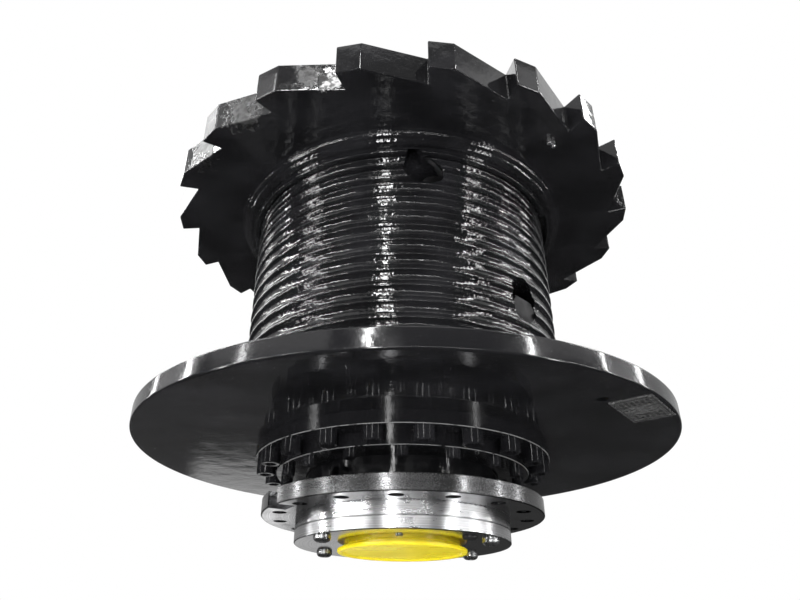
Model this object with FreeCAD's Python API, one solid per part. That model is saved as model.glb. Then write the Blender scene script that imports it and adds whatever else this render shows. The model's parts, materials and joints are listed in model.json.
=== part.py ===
import FreeCAD, Part
import math
import os

from FreeCAD import Vector

# A crane winch drum with its planetary gear reducer inside, its ratchet wheel and its motor cover.
# Millimetres and degrees. The origin is the centre of the bolting face of the mounting flange.
# +Z runs along the drum towards the ratchet wheel, and the motor cover points along -Z.
# Azimuths are measured about Z from -Y, the side that faces the viewer, towards +X.
PLUS_X_AZ = 90.0

# Driving dimensions of the machined mounting end
MOUNT_FLANGE_R = 183.0
MOUNT_FLANGE_T = 20.0
MOUNT_HOLE_COUNT = 16
MOUNT_HOLE_INSET = 21.0
MOUNT_HOLE_R = 9.0
MOUNT_HOLE_AZ = -2.2
SPIGOT_R = 139.0
SPIGOT_H = 16.5
FLANGE_SEAT_STEP = 1.0
FLANGE_LIP_T = 8.0
NOTCH_AZ = -57.5
NOTCH_W = 29.0
NOTCH_DEPTH = 24.0
EDGE_BREAK = 1.0

# Neck and bearing seat of the fixed spindle
NECK_STEP = 3.0
NECK_WELD = 6.0
NECK_H = 35.0
SEAL_LAND_STEP = 3.0
RACE_SHOULDER_STEP = 11.0
RACE_SHOULDER_H = 6.0
SPINDLE_TAIL = 2.0
BRAKE_BORE_R = 88.0
BRAKE_BORE_TOP = 92.0
SPINDLE_WELL_R = 60.0
END_WALL_T = 26.0

# Motor cover on the spigot
COVER_T = 15.0
COVER_GROOVE = 0.8
MOTOR_PILOT_R = 76.2
MOTOR_BOLT_PCD_R = 114.3
MOTOR_BOLT_COUNT = 2
MOTOR_BOLT_AZ = 44.0
MOTOR_TAP_R = 8.75
COVER_SCREW_PCD_R = 122.0
COVER_SCREW_AZ = 5.0
COVER_SCREW_HALF_ANGLE = 56.0

# Yellow transport cap in the motor pilot bore
CAP_DISC_R = 83.3
CAP_DISC_T = 4.0
CAP_NECK_H = 5.0
CAP_NECK_R = 74.0
CAP_PLUG_LEN = 10.0
CAP_WALL = 3.0
CAP_RIM_W = 7.0
CAP_RECESS = 1.5
CAP_FIT = 0.3

# Rotating gear housing, seal carrier and rope drum
SEAL_GAP = 34.0
SEAL_CARRIER_RIM = 12.5
SEAL_CARRIER_T = 16.0
SEAL_LIP_T = 4.0
SEAL_W = 16.0
NECK_CLEAR = 1.5
SEAL_CLEAR = 0.05
HOUSING_FLANGE_RIM = 14.5
HOUSING_FLANGE_T = 16.0
HOUSING_WALL = 9.0
HOUSING_SHOULDER_STEP = 3.4
HOUSING_COVER_T = 12.0
SNAP_T = 4.0
SNAP_DEPTH = 3.0
SNAP_W = 11.0
HOUSING_RIM = 6.0
DRUM_FLANGE_R = 355.0
DRUM_FLANGE_T = 24.0
DRUM_FLANGE_CHAMFER = 2.5
SPIGOT_CLEAR = 0.1
BARREL_R = 223.0
BARREL_WALL = 33.0
BARREL_LEN = 335.0
GROOVE_PITCH = 21.4
GROOVE_COUNT = 14
GROOVE_R = 10.7
GROOVE_DEPTH = 5.2
GROOVE_END_GAP = 22.0
RISER_H = 9.0
RISER_AZ_END = 68.0
RISER_SPAN_ANGLE = 215.0
WELD_LEG = 21.0
WELD_H = 17.0
WELD_CROWN = 5.0
FLANGE_WELD = 10.0
FLANGE_HOLE_R = 6.5
FLANGE_HOLE_INSET = 46.0
FLANGE_HOLE_AZ = 43.3

# Ratchet wheel
RATCHET_TIP_R = 350.0
RATCHET_TOOTH_DEPTH = 26.0
RATCHET_T = 45.0
RATCHET_TOOTH_COUNT = 20
RATCHET_AZ = 5.5
RATCHET_CREST_ANGLE = 5.2
RATCHET_UNDERCUT_ANGLE = 0.7
RATCHET_BORE_R = 130.0
RATCHET_EDGE = 1.2
PEG_R = 3.2
PEG_H = 8.0
PEG_INSET = 25.0
PEG_AZ = 41.6
PEG_PITCH_ANGLE = 1.7

# Rope pockets through the barrel wall
ENTRY_AZ = 7.5
ENTRY_Z = 404.0
ENTRY_R = 19.0
LEAD_IN_AZ = 5.5
LEAD_IN_H = 38.0
LEAD_IN_SKEW = 6.3
LEAD_IN_LIFT = 2.0
POCKET_SLANT_ANGLE = -42.0
ANCHOR_AZ = 44.5
ANCHOR_Z = 245.0
ANCHOR_R = 17.0
ANCHOR_RISE = 24.0
WEDGE_CLEAR = 0.3
WEDGE_INSET = 5.0
WEDGE_TILT_ANGLE = 18.0

# Nameplate on the drum flange
PLATE_AZ = 53.3
PLATE_INSET = 27.5
PLATE_W = 79.0
PLATE_H = 46.0
PLATE_T = 1.0
RIVET_R = 2.2
RIVET_FACE_R = 1.3
RIVET_H = 1.4
RIVET_EDGE_H = 0.5
RIVET_INSET = 4.0

# Main bearings: two rows of rollers
RACE_T = 13.0
ROLLER_R = 6.95
ROLLER_CLEAR = 0.05
ROLLER_COUNT = 24
BEARING_W = 36.0
BEARING_SPACER = 16.0
SPACER_T = 11.0
NUT_T = 12.0
NUT_W = 19.0
NUT_SLOT_COUNT = 4

# Gears: one internal gear serves both planetary stages
MODULE = 4.0
RING_TOOTH_COUNT = 72
RING_WALL = 9.0
RACE_STEP = 8.0
PRESSURE_ANGLE = 20.0
TOOTH_THINNING = 0.5
ADDENDUM_RATIO = 1.0
DEDENDUM_RATIO = 1.25
SUN_ONE_TOOTH_COUNT = 18
SUN_TWO_TOOTH_COUNT = 24
PLANET_COUNT = 3
PLANET_ONE_AZ = 150.0
PLANET_TWO_AZ = 90.0
STAGE_ONE_FACE = 40.0
STAGE_TWO_FACE = 60.0
AXIAL_GAP = 4.0
CARRIER_CLEAR = 3.0
CARRIER_TWO_T = 18.0
CARRIER_TWO_TOP_T = 16.0
CARRIER_ONE_T = 14.0
CARRIER_ONE_TOP_T = 12.0
POST_R = 15.0
POST_INSET_ONE = 24.0
POST_INSET_TWO = 18.0
PIN_ONE_R = 18.0
PIN_TWO_R = 20.0
PIN_INSET = 3.0
BUSH_T = 6.0
BUSH_CLEAR = 0.05
SUN_TWO_NECK_R = 40.0
SUN_TWO_BORE_R = 26.0
CARRIER_TWO_BORE_R = 54.0
COVER_END_GAP = 4.0

# Input shaft and parking brake
SHAFT_R = 22.0
COUPLING_R = 34.0
COUPLING_LEN = 38.0
COUPLING_BORE_R = 20.0
COUPLING_Z = -8.0
BRAKE_HUB_R = 45.0
BRAKE_HUB_LEN = 42.0
DISC_T = 3.0
DISC_GAP = 0.3
INNER_DISC_COUNT = 5
INNER_DISC_R = 82.0
OUTER_DISC_BORE_R = 50.0
DISC_STACK_TOP = 88.0
DISC_FIT = 0.3
PISTON_BORE_R = 52.0
PISTON_T = 16.0
PISTON_SEAL_DEPTH = 5.0
PISTON_SEAL_W = 3.2
SPRING_COUNT = 12
SPRING_R = 9.0
SPRING_BORE_R = 4.5
SPRING_LEN = 36.0
SPRING_CONE_COUNT = 6
SPRING_THICK = 2.0
SPRING_PCD_R = 70.0
INPUT_BUSH_T = 8.0

# Outboard bearing in the ratchet end
TRUNNION_R = 60.0
HUB_R = 130.0
OUTBOARD_RACE_T = 8.0
OUTBOARD_RACE_R = 90.0
OUTBOARD_ROLLER_COUNT = 30
OUTBOARD_W = 32.0
HUB_FLOOR = 10.0
HUB_FLOOR_R = 84.0
HUB_COVER_T = 8.0
HUB_COVER_R = 116.0
HUB_COVER_BORE_R = 66.0
HUB_SCREW_PCD_R = 104.0
HUB_SCREW_COUNT = 8

# Socket head screws: shank radius, head radius, head height, hexagon across flats, shank length
M16 = (8.0, 12.0, 16.0, 14.0, 34.0)
M12 = (6.0, 9.0, 12.0, 10.0, 24.0)
M10 = (5.0, 8.0, 10.0, 8.0, 28.0)
M12_BUTTON = (6.0, 10.5, 6.6, 8.0, 24.0)
BUTTON_FLAT_R = 5.5
BUTTON_RIM_T = 1.2
BUTTON_BULGE = 1.0
HUB_M10 = (5.0, 8.0, 10.0, 8.0, 22.0)
HOUSING_SCREW_COUNT = 20
HOUSING_SCREW_STEP = 15.0
HOUSING_SCREW_AZ = 8.0
SEAL_SCREW_COUNT = 16
SEAL_SCREW_STEP = 15.5
CARRIER_SCREW_INSET = 11.0
CARRIER_SCREW_ANGLE = 13.0
HOLE_CLEAR = 0.5
HEAD_CHAMFER = 1.2
PLUG_R = 9.0
PLUG_H = 12.0
PLUG_HEX = 10.0
PLUG_SHANK = 8.0
PLUG_SHANK_R = 6.3
PORT_AZS = (-34.0, 75.0)
PORT_Z = 37.0
LEAK_PLUG_R = 5.0
LEAK_PLUG_HEX = 5.0
LEAK_PLUG_AZ = -2.0
LEAK_PLUG_PCD_R = 97.0

# Heights that follow from the sizes above
Z_COVER = -SPIGOT_H - COVER_T
Z_FLANGE_LIP = MOUNT_FLANGE_T - FLANGE_LIP_T
Z_SEAL = MOUNT_FLANGE_T + SEAL_GAP
Z_HOUSING = Z_SEAL + SEAL_CARRIER_T
Z_DRUM = Z_HOUSING + HOUSING_FLANGE_T
Z_BARREL = Z_DRUM + DRUM_FLANGE_T
Z_RATCHET = Z_BARREL + BARREL_LEN
Z_TOP = Z_RATCHET + RATCHET_T
Z_NECK = MOUNT_FLANGE_T + NECK_H
Z_RACE = Z_HOUSING + RACE_SHOULDER_H
Z_SPACER = Z_RACE + BEARING_W
Z_RACE_TWO = Z_SPACER + BEARING_SPACER
Z_NUT = Z_RACE_TWO + BEARING_W
Z_SPINDLE_END = Z_NUT + NUT_T + SPINDLE_TAIL
Z_PLANET_TWO = Z_SPINDLE_END + CARRIER_TWO_T + AXIAL_GAP
Z_CARRIER_TWO_TOP = Z_PLANET_TWO + STAGE_TWO_FACE + AXIAL_GAP
Z_CARRIER_ONE = Z_CARRIER_TWO_TOP + CARRIER_TWO_TOP_T + AXIAL_GAP
Z_PLANET_ONE = Z_CARRIER_ONE + CARRIER_ONE_T + AXIAL_GAP
Z_CARRIER_ONE_TOP = Z_PLANET_ONE + STAGE_ONE_FACE + AXIAL_GAP
Z_RING_TOP = Z_CARRIER_ONE_TOP + CARRIER_ONE_TOP_T + COVER_END_GAP
Z_SNAP = Z_RING_TOP + HOUSING_COVER_T
Z_HOUSING_TOP = Z_SNAP + SNAP_T + HOUSING_RIM
Z_HUB = Z_TOP - OUTBOARD_W - HUB_FLOOR

# Radii that follow from the sizes above
RING_PITCH_R = MODULE * RING_TOOTH_COUNT / 2
RING_ROOT_R = RING_PITCH_R + DEDENDUM_RATIO * MODULE
RING_TIP_R = RING_PITCH_R - ADDENDUM_RATIO * MODULE
RING_OUTER_R = RING_ROOT_R + RING_WALL
PLANET_ONE_TOOTH_COUNT = (RING_TOOTH_COUNT - SUN_ONE_TOOTH_COUNT) // 2
PLANET_TWO_TOOTH_COUNT = (RING_TOOTH_COUNT - SUN_TWO_TOOTH_COUNT) // 2
ORBIT_ONE_R = MODULE * (SUN_ONE_TOOTH_COUNT + PLANET_ONE_TOOTH_COUNT) / 2
ORBIT_TWO_R = MODULE * (SUN_TWO_TOOTH_COUNT + PLANET_TWO_TOOTH_COUNT) / 2
CARRIER_R = RING_TIP_R - CARRIER_CLEAR
POST_ORBIT_ONE_R = CARRIER_R - POST_INSET_ONE
POST_ORBIT_TWO_R = CARRIER_R - POST_INSET_TWO
HOUSING_R = RING_OUTER_R + HOUSING_WALL
HOUSING_SCREW_PCD_R = HOUSING_R + HOUSING_SCREW_STEP
HOUSING_FLANGE_R = HOUSING_SCREW_PCD_R + HOUSING_FLANGE_RIM
RACE_OUTER_R = RING_OUTER_R - RACE_STEP
HOUSING_SHOULDER_R = RACE_OUTER_R - HOUSING_SHOULDER_STEP
SPINDLE_SEAT_R = RACE_OUTER_R - 2 * RACE_T - 2 * ROLLER_R - 2 * ROLLER_CLEAR
NUT_R = SPINDLE_SEAT_R + NUT_W
CARRIER_SCREW_PCD_R = SPINDLE_SEAT_R - CARRIER_SCREW_INSET
RACE_SHOULDER_R = SPINDLE_SEAT_R + RACE_SHOULDER_STEP
SEAL_LAND_R = RACE_SHOULDER_R + SEAL_LAND_STEP
NECK_R = SEAL_LAND_R + NECK_STEP
FLANGE_SEAT_R = SPIGOT_R + FLANGE_SEAT_STEP
SEAL_SEAT_R = SEAL_LAND_R + SEAL_W
SEAL_SCREW_PCD_R = SEAL_SEAT_R + SEAL_SCREW_STEP
SEAL_CARRIER_R = SEAL_SCREW_PCD_R + SEAL_CARRIER_RIM
MOUNT_HOLE_PCD_R = MOUNT_FLANGE_R - MOUNT_HOLE_INSET
BARREL_BORE_R = BARREL_R - BARREL_WALL
WELD_R = BARREL_R + RISER_H + WELD_LEG
FLANGE_HOLE_PCD_R = DRUM_FLANGE_R - FLANGE_HOLE_INSET
PLATE_PCD_R = DRUM_FLANGE_R - PLATE_INSET
RATCHET_ROOT_R = RATCHET_TIP_R - RATCHET_TOOTH_DEPTH
PEG_PCD_R = RATCHET_ROOT_R - PEG_INSET
ROLLER_PCD_R = SPINDLE_SEAT_R + RACE_T + ROLLER_CLEAR + ROLLER_R
OUTBOARD_PCD_R = (TRUNNION_R + OUTBOARD_RACE_R) / 2
OUTBOARD_ROLLER_R = (OUTBOARD_RACE_R - TRUNNION_R) / 2 - OUTBOARD_RACE_T - ROLLER_CLEAR


def turned(points):
    """A solid of revolution about Z from a closed outline of (radius, height) points."""
    corners = [Vector(r, 0, z) for r, z in points]
    face = Part.Face(Part.makePolygon(corners + corners[:1]))
    return face.revolve(Vector(0, 0, 0), Vector(0, 0, 1), 360)


def tube(outer, inner, low, high):
    return turned([(inner, low), (outer, low), (outer, high), (inner, high)])


def rod(radius, low, high):
    return Part.makeCylinder(radius, high - low, Vector(0, 0, low))


def spun(shape, azimuth):
    """A copy turned about Z."""
    return shape.rotated(Vector(0, 0, 0), Vector(0, 0, 1), azimuth)


def placed(shape, radius, azimuth, height=0.0):
    """A copy moved from the axis out to a radius, at an azimuth from -Y and a height."""
    return spun(shape.translated(Vector(0, -radius, height)), azimuth)


def pattern(shape, radius, count, azimuth, height=0.0):
    return [placed(shape, radius, azimuth + 360.0 * i / count, height) for i in range(count)]


def group(shapes):
    return Part.makeCompound(shapes)


def hexagon(across, low, high):
    corner = across / math.sqrt(3)
    angles = [math.radians(60 * i) for i in range(7)]
    outline = [Vector(corner * math.cos(a), corner * math.sin(a), low) for a in angles]
    return Part.Face(Part.makePolygon(outline)).extrude(Vector(0, 0, high - low))


def cap_screw(sizes, upward=False):
    """A socket head screw whose head seat is at height 0, head below unless it points upward."""
    shank, head, head_h, across, length = sizes
    profile = [(0, length), (0, -head_h), (head - HEAD_CHAMFER, -head_h)]
    profile += [(head, HEAD_CHAMFER - head_h), (head, 0), (shank, 0), (shank, length)]
    screw = turned(profile).cut(hexagon(across, -head_h, -head_h / 2))
    return screw.mirror(Vector(0, 0, 0), Vector(0, 0, 1)) if upward else screw


def button_screw(sizes):
    """A button head screw whose head seat is at height 0, with its domed head below."""
    shank, head, head_h, across, length = sizes
    rim = Vector(head, 0, -BUTTON_RIM_T)
    crown = Vector(BUTTON_FLAT_R, 0, -head_h)
    middle = (rim + crown) * 0.5 + Vector(BUTTON_BULGE, 0, -BUTTON_BULGE)
    corners = [crown, Vector(0, 0, -head_h), Vector(0, 0, length), Vector(shank, 0, length)]
    corners += [Vector(shank, 0, 0), Vector(head, 0, 0), rim]
    edges = [Part.Arc(rim, middle, crown).toShape()] + Part.makePolygon(corners).Edges
    body = Part.Face(Part.Wire(edges)).revolve(Vector(0, 0, 0), Vector(0, 0, 1), 360)
    return body.cut(hexagon(across, -head_h, -head_h / 2))


def screw_hole(sizes, through):
    """Clearance hole of a screw, from its head seat."""
    return rod(sizes[0] + HOLE_CLEAR, 0, through)


def involute(angle):
    return math.tan(angle) - angle


def gear_outline(teeth, thinning, inner_reach, outer_reach, first):
    """Closed outline with a tooth centred at the angle first, counted from +X."""
    pitch_r = MODULE * teeth / 2
    base_r = pitch_r * math.cos(math.radians(PRESSURE_ANGLE))
    low_r = pitch_r - inner_reach * MODULE
    high_r = pitch_r + outer_reach * MODULE
    start_r = max(base_r, low_r)
    half = (math.pi * MODULE / 2 - thinning) / (2 * pitch_r)
    half += involute(math.radians(PRESSURE_ANGLE))
    radii = [start_r, (start_r + pitch_r) / 2, pitch_r, (pitch_r + high_r) / 2, high_r]
    flank = [(r, half - involute(math.acos(base_r / r))) for r in radii]
    if start_r > low_r:
        flank.insert(0, (low_r, flank[0][1]))
    points = []
    for i in range(teeth):
        centre = math.radians(first) + 2 * math.pi * i / teeth
        right = [(r, centre - a) for r, a in flank]
        left = [(r, centre + a) for r, a in reversed(flank)]
        points += [Vector(r * math.cos(a), r * math.sin(a), 0) for r, a in right + left]
    return Part.Face(Part.makePolygon(points + points[:1]))


def gear(teeth, first, low, high, bore):
    face = gear_outline(teeth, TOOTH_THINNING, DEDENDUM_RATIO, ADDENDUM_RATIO, first)
    blank = face.extrude(Vector(0, 0, high - low)).translated(Vector(0, 0, low))
    return blank.cut(rod(bore, low, high)) if bore else blank


def planet_phase(planet_teeth, orbit_azimuth):
    """Angle of a planet tooth that fills the space of the internal gear at the angle 0."""
    orbit = orbit_azimuth - PLUS_X_AZ
    ring_phase = orbit * RING_TOOTH_COUNT / 360.0
    return orbit - 360.0 / planet_teeth * ring_phase


def sun_phase(sun_teeth, planet_teeth, orbit_azimuth):
    """Angle of a sun tooth that meshes with the planet at that azimuth."""
    orbit = orbit_azimuth - PLUS_X_AZ
    planet = (orbit + 180.0 - planet_phase(planet_teeth, orbit_azimuth)) * planet_teeth / 360.0
    return orbit - 360.0 / sun_teeth * (0.5 - planet)


def planet_azimuths(first):
    return [first + 360.0 * i / PLANET_COUNT for i in range(PLANET_COUNT)]


def between_planets(first):
    return [a + 180.0 / PLANET_COUNT for a in planet_azimuths(first)]


def spindle():
    """The fixed spindle: spigot, neck welded into the mounting flange, bearing seat and brake chamber."""
    bottom = -SPIGOT_H
    wall = Z_SPINDLE_END - END_WALL_T
    bush_r = SHAFT_R + BUSH_CLEAR + INPUT_BUSH_T
    points = [(BRAKE_BORE_R, bottom), (SPIGOT_R - COVER_GROOVE, bottom)]
    points += [(SPIGOT_R, bottom + COVER_GROOVE), (SPIGOT_R, 0)]
    points += [(FLANGE_SEAT_R, 0), (FLANGE_SEAT_R, Z_FLANGE_LIP), (NECK_R, Z_FLANGE_LIP)]
    points += [(NECK_R, Z_NECK), (SEAL_LAND_R, Z_NECK + NECK_R - SEAL_LAND_R)]
    points += [(SEAL_LAND_R, Z_HOUSING), (RACE_SHOULDER_R, Z_HOUSING)]
    points += [(RACE_SHOULDER_R, Z_RACE), (SPINDLE_SEAT_R, Z_RACE)]
    points += [(SPINDLE_SEAT_R, Z_SPINDLE_END), (bush_r, Z_SPINDLE_END), (bush_r, wall)]
    points += [(SPINDLE_WELL_R, wall), (SPINDLE_WELL_R, BRAKE_BORE_TOP)]
    points += [(BRAKE_BORE_R, BRAKE_BORE_TOP)]
    body = turned(points)
    shank = rod(M12_BUTTON[0], 0, M12_BUTTON[4] - COVER_T)
    cuts = [placed(shank, COVER_SCREW_PCD_R, a, bottom) for a in cover_screw_azimuths()]
    tap = rod(MOTOR_TAP_R, 0, SPIGOT_H)
    cuts += pattern(tap, MOTOR_BOLT_PCD_R, MOTOR_BOLT_COUNT, MOTOR_BOLT_AZ, bottom)
    depth = M12[4] - CARRIER_TWO_T
    cuts += [placed(rod(M12[0], -depth, 0), CARRIER_SCREW_PCD_R, a, Z_SPINDLE_END)
             for a in carrier_screw_azimuths()]
    cuts += [port_tool(a) for a in PORT_AZS]
    weld = [(NECK_R, MOUNT_FLANGE_T), (NECK_R + NECK_WELD, MOUNT_FLANGE_T)]
    weld.append((NECK_R, MOUNT_FLANGE_T + NECK_WELD))
    return group([body.cut(cuts), turned(weld)])


def mounting_flange():
    """Machined flange plate around the neck, on the spindle's shoulder, with clear holes and a notch."""
    edge = MOUNT_FLANGE_R - EDGE_BREAK
    points = [(FLANGE_SEAT_R, 0), (edge, 0), (MOUNT_FLANGE_R, EDGE_BREAK)]
    points += [(MOUNT_FLANGE_R, MOUNT_FLANGE_T - EDGE_BREAK), (edge, MOUNT_FLANGE_T)]
    points += [(NECK_R, MOUNT_FLANGE_T), (NECK_R, Z_FLANGE_LIP), (FLANGE_SEAT_R, Z_FLANGE_LIP)]
    hole = rod(MOUNT_HOLE_R, 0, MOUNT_FLANGE_T)
    cuts = pattern(hole, MOUNT_HOLE_PCD_R, MOUNT_HOLE_COUNT, MOUNT_HOLE_AZ)
    slot = Part.makeBox(NOTCH_W, 2 * NOTCH_DEPTH, MOUNT_FLANGE_T)
    slot = slot.translated(Vector(-NOTCH_W / 2, -NOTCH_DEPTH, 0))
    cuts.append(placed(slot, MOUNT_FLANGE_R, NOTCH_AZ))
    return turned(points).cut(cuts)


def cover_screw_azimuths():
    turns = (-COVER_SCREW_HALF_ANGLE, COVER_SCREW_HALF_ANGLE)
    return [COVER_SCREW_AZ + side + turn for side in (0.0, 180.0) for turn in turns]


def carrier_screw_azimuths():
    turns = (-CARRIER_SCREW_ANGLE, CARRIER_SCREW_ANGLE)
    return [a + turn for a in between_planets(PLANET_TWO_AZ) for turn in turns]


def port_tool(azimuth):
    """Blind tapped port that runs inwards through the neck."""
    hole = Part.makeCylinder(PLUG_SHANK_R, PLUG_SHANK, Vector(0, -NECK_R, PORT_Z), Vector(0, 1, 0))
    return spun(hole, azimuth)


def motor_cover():
    """Bare steel end cover with the pilot bore and the tapped holes for the motor."""
    top = -SPIGOT_H
    points = [(MOTOR_PILOT_R, Z_COVER), (SPIGOT_R - EDGE_BREAK, Z_COVER)]
    points += [(SPIGOT_R, Z_COVER + EDGE_BREAK), (SPIGOT_R, top - COVER_GROOVE)]
    points += [(SPIGOT_R - COVER_GROOVE, top), (MOTOR_PILOT_R, top)]
    hole = screw_hole(M12_BUTTON, COVER_T)
    cuts = [placed(hole, COVER_SCREW_PCD_R, a, Z_COVER) for a in cover_screw_azimuths()]
    tap = rod(MOTOR_TAP_R, 0, COVER_T)
    cuts += pattern(tap, MOTOR_BOLT_PCD_R, MOTOR_BOLT_COUNT, MOTOR_BOLT_AZ, Z_COVER)
    cuts.append(placed(rod(LEAK_PLUG_R, 0, PLUG_SHANK), LEAK_PLUG_PCD_R, LEAK_PLUG_AZ, Z_COVER))
    return turned(points).cut(cuts)


def motor_cover_screws():
    screw = button_screw(M12_BUTTON)
    return group([placed(screw, COVER_SCREW_PCD_R, a, Z_COVER) for a in cover_screw_azimuths()])


def port_plugs():
    """Hexagon socket plugs: two in the brake ports of the neck and a small one in the motor cover."""
    profile = [(0, 0), (PLUG_R, 0), (PLUG_R, PLUG_H), (PLUG_SHANK_R, PLUG_H)]
    profile += [(PLUG_SHANK_R, PLUG_H + PLUG_SHANK), (0, PLUG_H + PLUG_SHANK)]
    plug = turned(profile).cut(hexagon(PLUG_HEX, 0, PLUG_H - EDGE_BREAK))
    plug = plug.rotated(Vector(0, 0, 0), Vector(1, 0, 0), -90)
    plugs = [placed(plug, NECK_R + PLUG_H, a, PORT_Z) for a in PORT_AZS]
    small = rod(LEAK_PLUG_R, 0, PLUG_SHANK).cut(hexagon(LEAK_PLUG_HEX, 0, PLUG_SHANK / 2))
    plugs.append(placed(small, LEAK_PLUG_PCD_R, LEAK_PLUG_AZ, Z_COVER))
    return group(plugs)


def transport_cap():
    """Plastic cap: a rimmed disc with a recessed face, and a thin cup that plugs the pilot bore."""
    seat = Z_COVER - CAP_NECK_H
    face = seat - CAP_DISC_T
    inner = CAP_DISC_R - CAP_RIM_W
    bore = CAP_NECK_R - CAP_WALL
    plug = MOTOR_PILOT_R - CAP_FIT
    points = [(0, face + CAP_RECESS), (inner - CAP_RECESS, face + CAP_RECESS), (inner, face)]
    points += [(CAP_DISC_R - EDGE_BREAK, face), (CAP_DISC_R, face + EDGE_BREAK)]
    points += [(CAP_DISC_R, seat), (CAP_NECK_R, seat), (CAP_NECK_R, Z_COVER), (plug, Z_COVER)]
    points += [(plug, Z_COVER + CAP_PLUG_LEN)]
    points += [(bore, Z_COVER + CAP_PLUG_LEN), (bore, seat), (0, seat)]
    return turned(points)


def seal_carrier():
    """Bolted ring that holds the shaft seal around the neck."""
    seat = Z_SEAL + SEAL_LIP_T
    lip = NECK_R + NECK_CLEAR
    points = [(lip, Z_SEAL), (SEAL_CARRIER_R - EDGE_BREAK, Z_SEAL)]
    points += [(SEAL_CARRIER_R, Z_SEAL + EDGE_BREAK), (SEAL_CARRIER_R, Z_HOUSING)]
    points += [(SEAL_SEAT_R, Z_HOUSING), (SEAL_SEAT_R, seat), (lip, seat)]
    hole = screw_hole(M10, SEAL_CARRIER_T)
    return turned(points).cut(pattern(hole, SEAL_SCREW_PCD_R, SEAL_SCREW_COUNT, 0, Z_SEAL))


def seal_carrier_screws():
    return group(pattern(cap_screw(M10), SEAL_SCREW_PCD_R, SEAL_SCREW_COUNT, 0, Z_SEAL))


def shaft_seal():
    """Rubber lip seal between the neck and its carrier."""
    low = Z_SEAL + SEAL_LIP_T
    bore = SEAL_LAND_R + SEAL_CLEAR
    groove = (bore + SEAL_SEAT_R) / 2
    points = [(bore, low), (SEAL_SEAT_R, low), (SEAL_SEAT_R, Z_HOUSING), (groove + EDGE_BREAK, Z_HOUSING)]
    points += [(groove, low + SEAL_LIP_T), (bore + SEAL_LIP_T, Z_HOUSING), (bore, Z_HOUSING)]
    return turned(points)


def gear_housing():
    """Rotating housing: bolting flange below, bearing bore, and the bore of the internal gear."""
    points = [(HOUSING_SHOULDER_R, Z_HOUSING), (HOUSING_FLANGE_R - EDGE_BREAK, Z_HOUSING)]
    points += [(HOUSING_FLANGE_R, Z_HOUSING + EDGE_BREAK), (HOUSING_FLANGE_R, Z_DRUM)]
    points += [(HOUSING_R, Z_DRUM), (HOUSING_R, Z_HOUSING_TOP), (RING_OUTER_R, Z_HOUSING_TOP)]
    points += [(RING_OUTER_R, Z_SNAP + SNAP_T), (RING_OUTER_R + SNAP_DEPTH, Z_SNAP + SNAP_T)]
    points += [(RING_OUTER_R + SNAP_DEPTH, Z_SNAP), (RING_OUTER_R, Z_SNAP), (RING_OUTER_R, Z_NUT)]
    points += [(RACE_OUTER_R, Z_NUT), (RACE_OUTER_R, Z_RACE), (HOUSING_SHOULDER_R, Z_RACE)]
    hole = screw_hole(M16, HOUSING_FLANGE_T)
    cuts = pattern(hole, HOUSING_SCREW_PCD_R, HOUSING_SCREW_COUNT, HOUSING_SCREW_AZ, Z_HOUSING)
    tap = rod(M10[0], 0, M10[4] - SEAL_CARRIER_T)
    cuts += pattern(tap, SEAL_SCREW_PCD_R, SEAL_SCREW_COUNT, 0, Z_HOUSING)
    return turned(points).cut(cuts)


def housing_screws():
    screw = cap_screw(M16)
    return group(pattern(screw, HOUSING_SCREW_PCD_R, HOUSING_SCREW_COUNT, HOUSING_SCREW_AZ, Z_HOUSING))


def ring_gear():
    """Internal gear of both planetary stages, seated in the housing under the cover."""
    space = gear_outline(RING_TOOTH_COUNT, -TOOTH_THINNING, ADDENDUM_RATIO, DEDENDUM_RATIO, 0)
    core = space.extrude(Vector(0, 0, Z_RING_TOP - Z_NUT)).translated(Vector(0, 0, Z_NUT))
    return rod(RING_OUTER_R, Z_NUT, Z_RING_TOP).cut(core)


def housing_cover():
    return rod(RING_OUTER_R, Z_RING_TOP, Z_SNAP)


def cover_snap_ring():
    """Retaining ring with a gap, in its groove above the housing cover."""
    outer = RING_OUTER_R + SNAP_DEPTH
    ring = tube(outer, outer - SNAP_W, Z_SNAP, Z_SNAP + SNAP_T)
    gap = Part.makeBox(SNAP_W, 2 * SNAP_W, SNAP_T)
    return ring.cut(gap.translated(Vector(-SNAP_W / 2, -outer - SNAP_W / 2, Z_SNAP)))


def drum_flange():
    """Large plain flange disc of the rope drum."""
    bore = HOUSING_R + SPIGOT_CLEAR
    edge = DRUM_FLANGE_R - DRUM_FLANGE_CHAMFER
    points = [(bore, Z_DRUM), (edge, Z_DRUM), (DRUM_FLANGE_R, Z_DRUM + DRUM_FLANGE_CHAMFER)]
    points += [(DRUM_FLANGE_R, Z_BARREL - DRUM_FLANGE_CHAMFER), (edge, Z_BARREL), (bore, Z_BARREL)]
    tap = rod(M16[0], 0, M16[4] - HOUSING_FLANGE_T)
    cuts = pattern(tap, HOUSING_SCREW_PCD_R, HOUSING_SCREW_COUNT, HOUSING_SCREW_AZ, Z_DRUM)
    cuts.append(placed(rod(FLANGE_HOLE_R, 0, DRUM_FLANGE_T), FLANGE_HOLE_PCD_R, FLANGE_HOLE_AZ, Z_DRUM))
    return turned(points).cut(cuts)


def rope_pocket(azimuth, height, radius, slant, rise):
    """Oblique round-ended tool that opens the barrel wall for the rope end."""
    reach = BARREL_R - BARREL_BORE_R
    path = Vector(0, 3 * reach, 0)
    tool = Part.makeCylinder(radius, 3 * reach, Vector(0, -BARREL_R - reach, 0), path)
    tool = tool.rotated(Vector(0, -BARREL_R, 0), Vector(0, 0, 1), slant)
    tool = tool.fuse(tool.translated(Vector(0, 0, rise))) if rise else tool
    return spun(tool.translated(Vector(0, 0, height - rise / 2)), azimuth)


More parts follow.
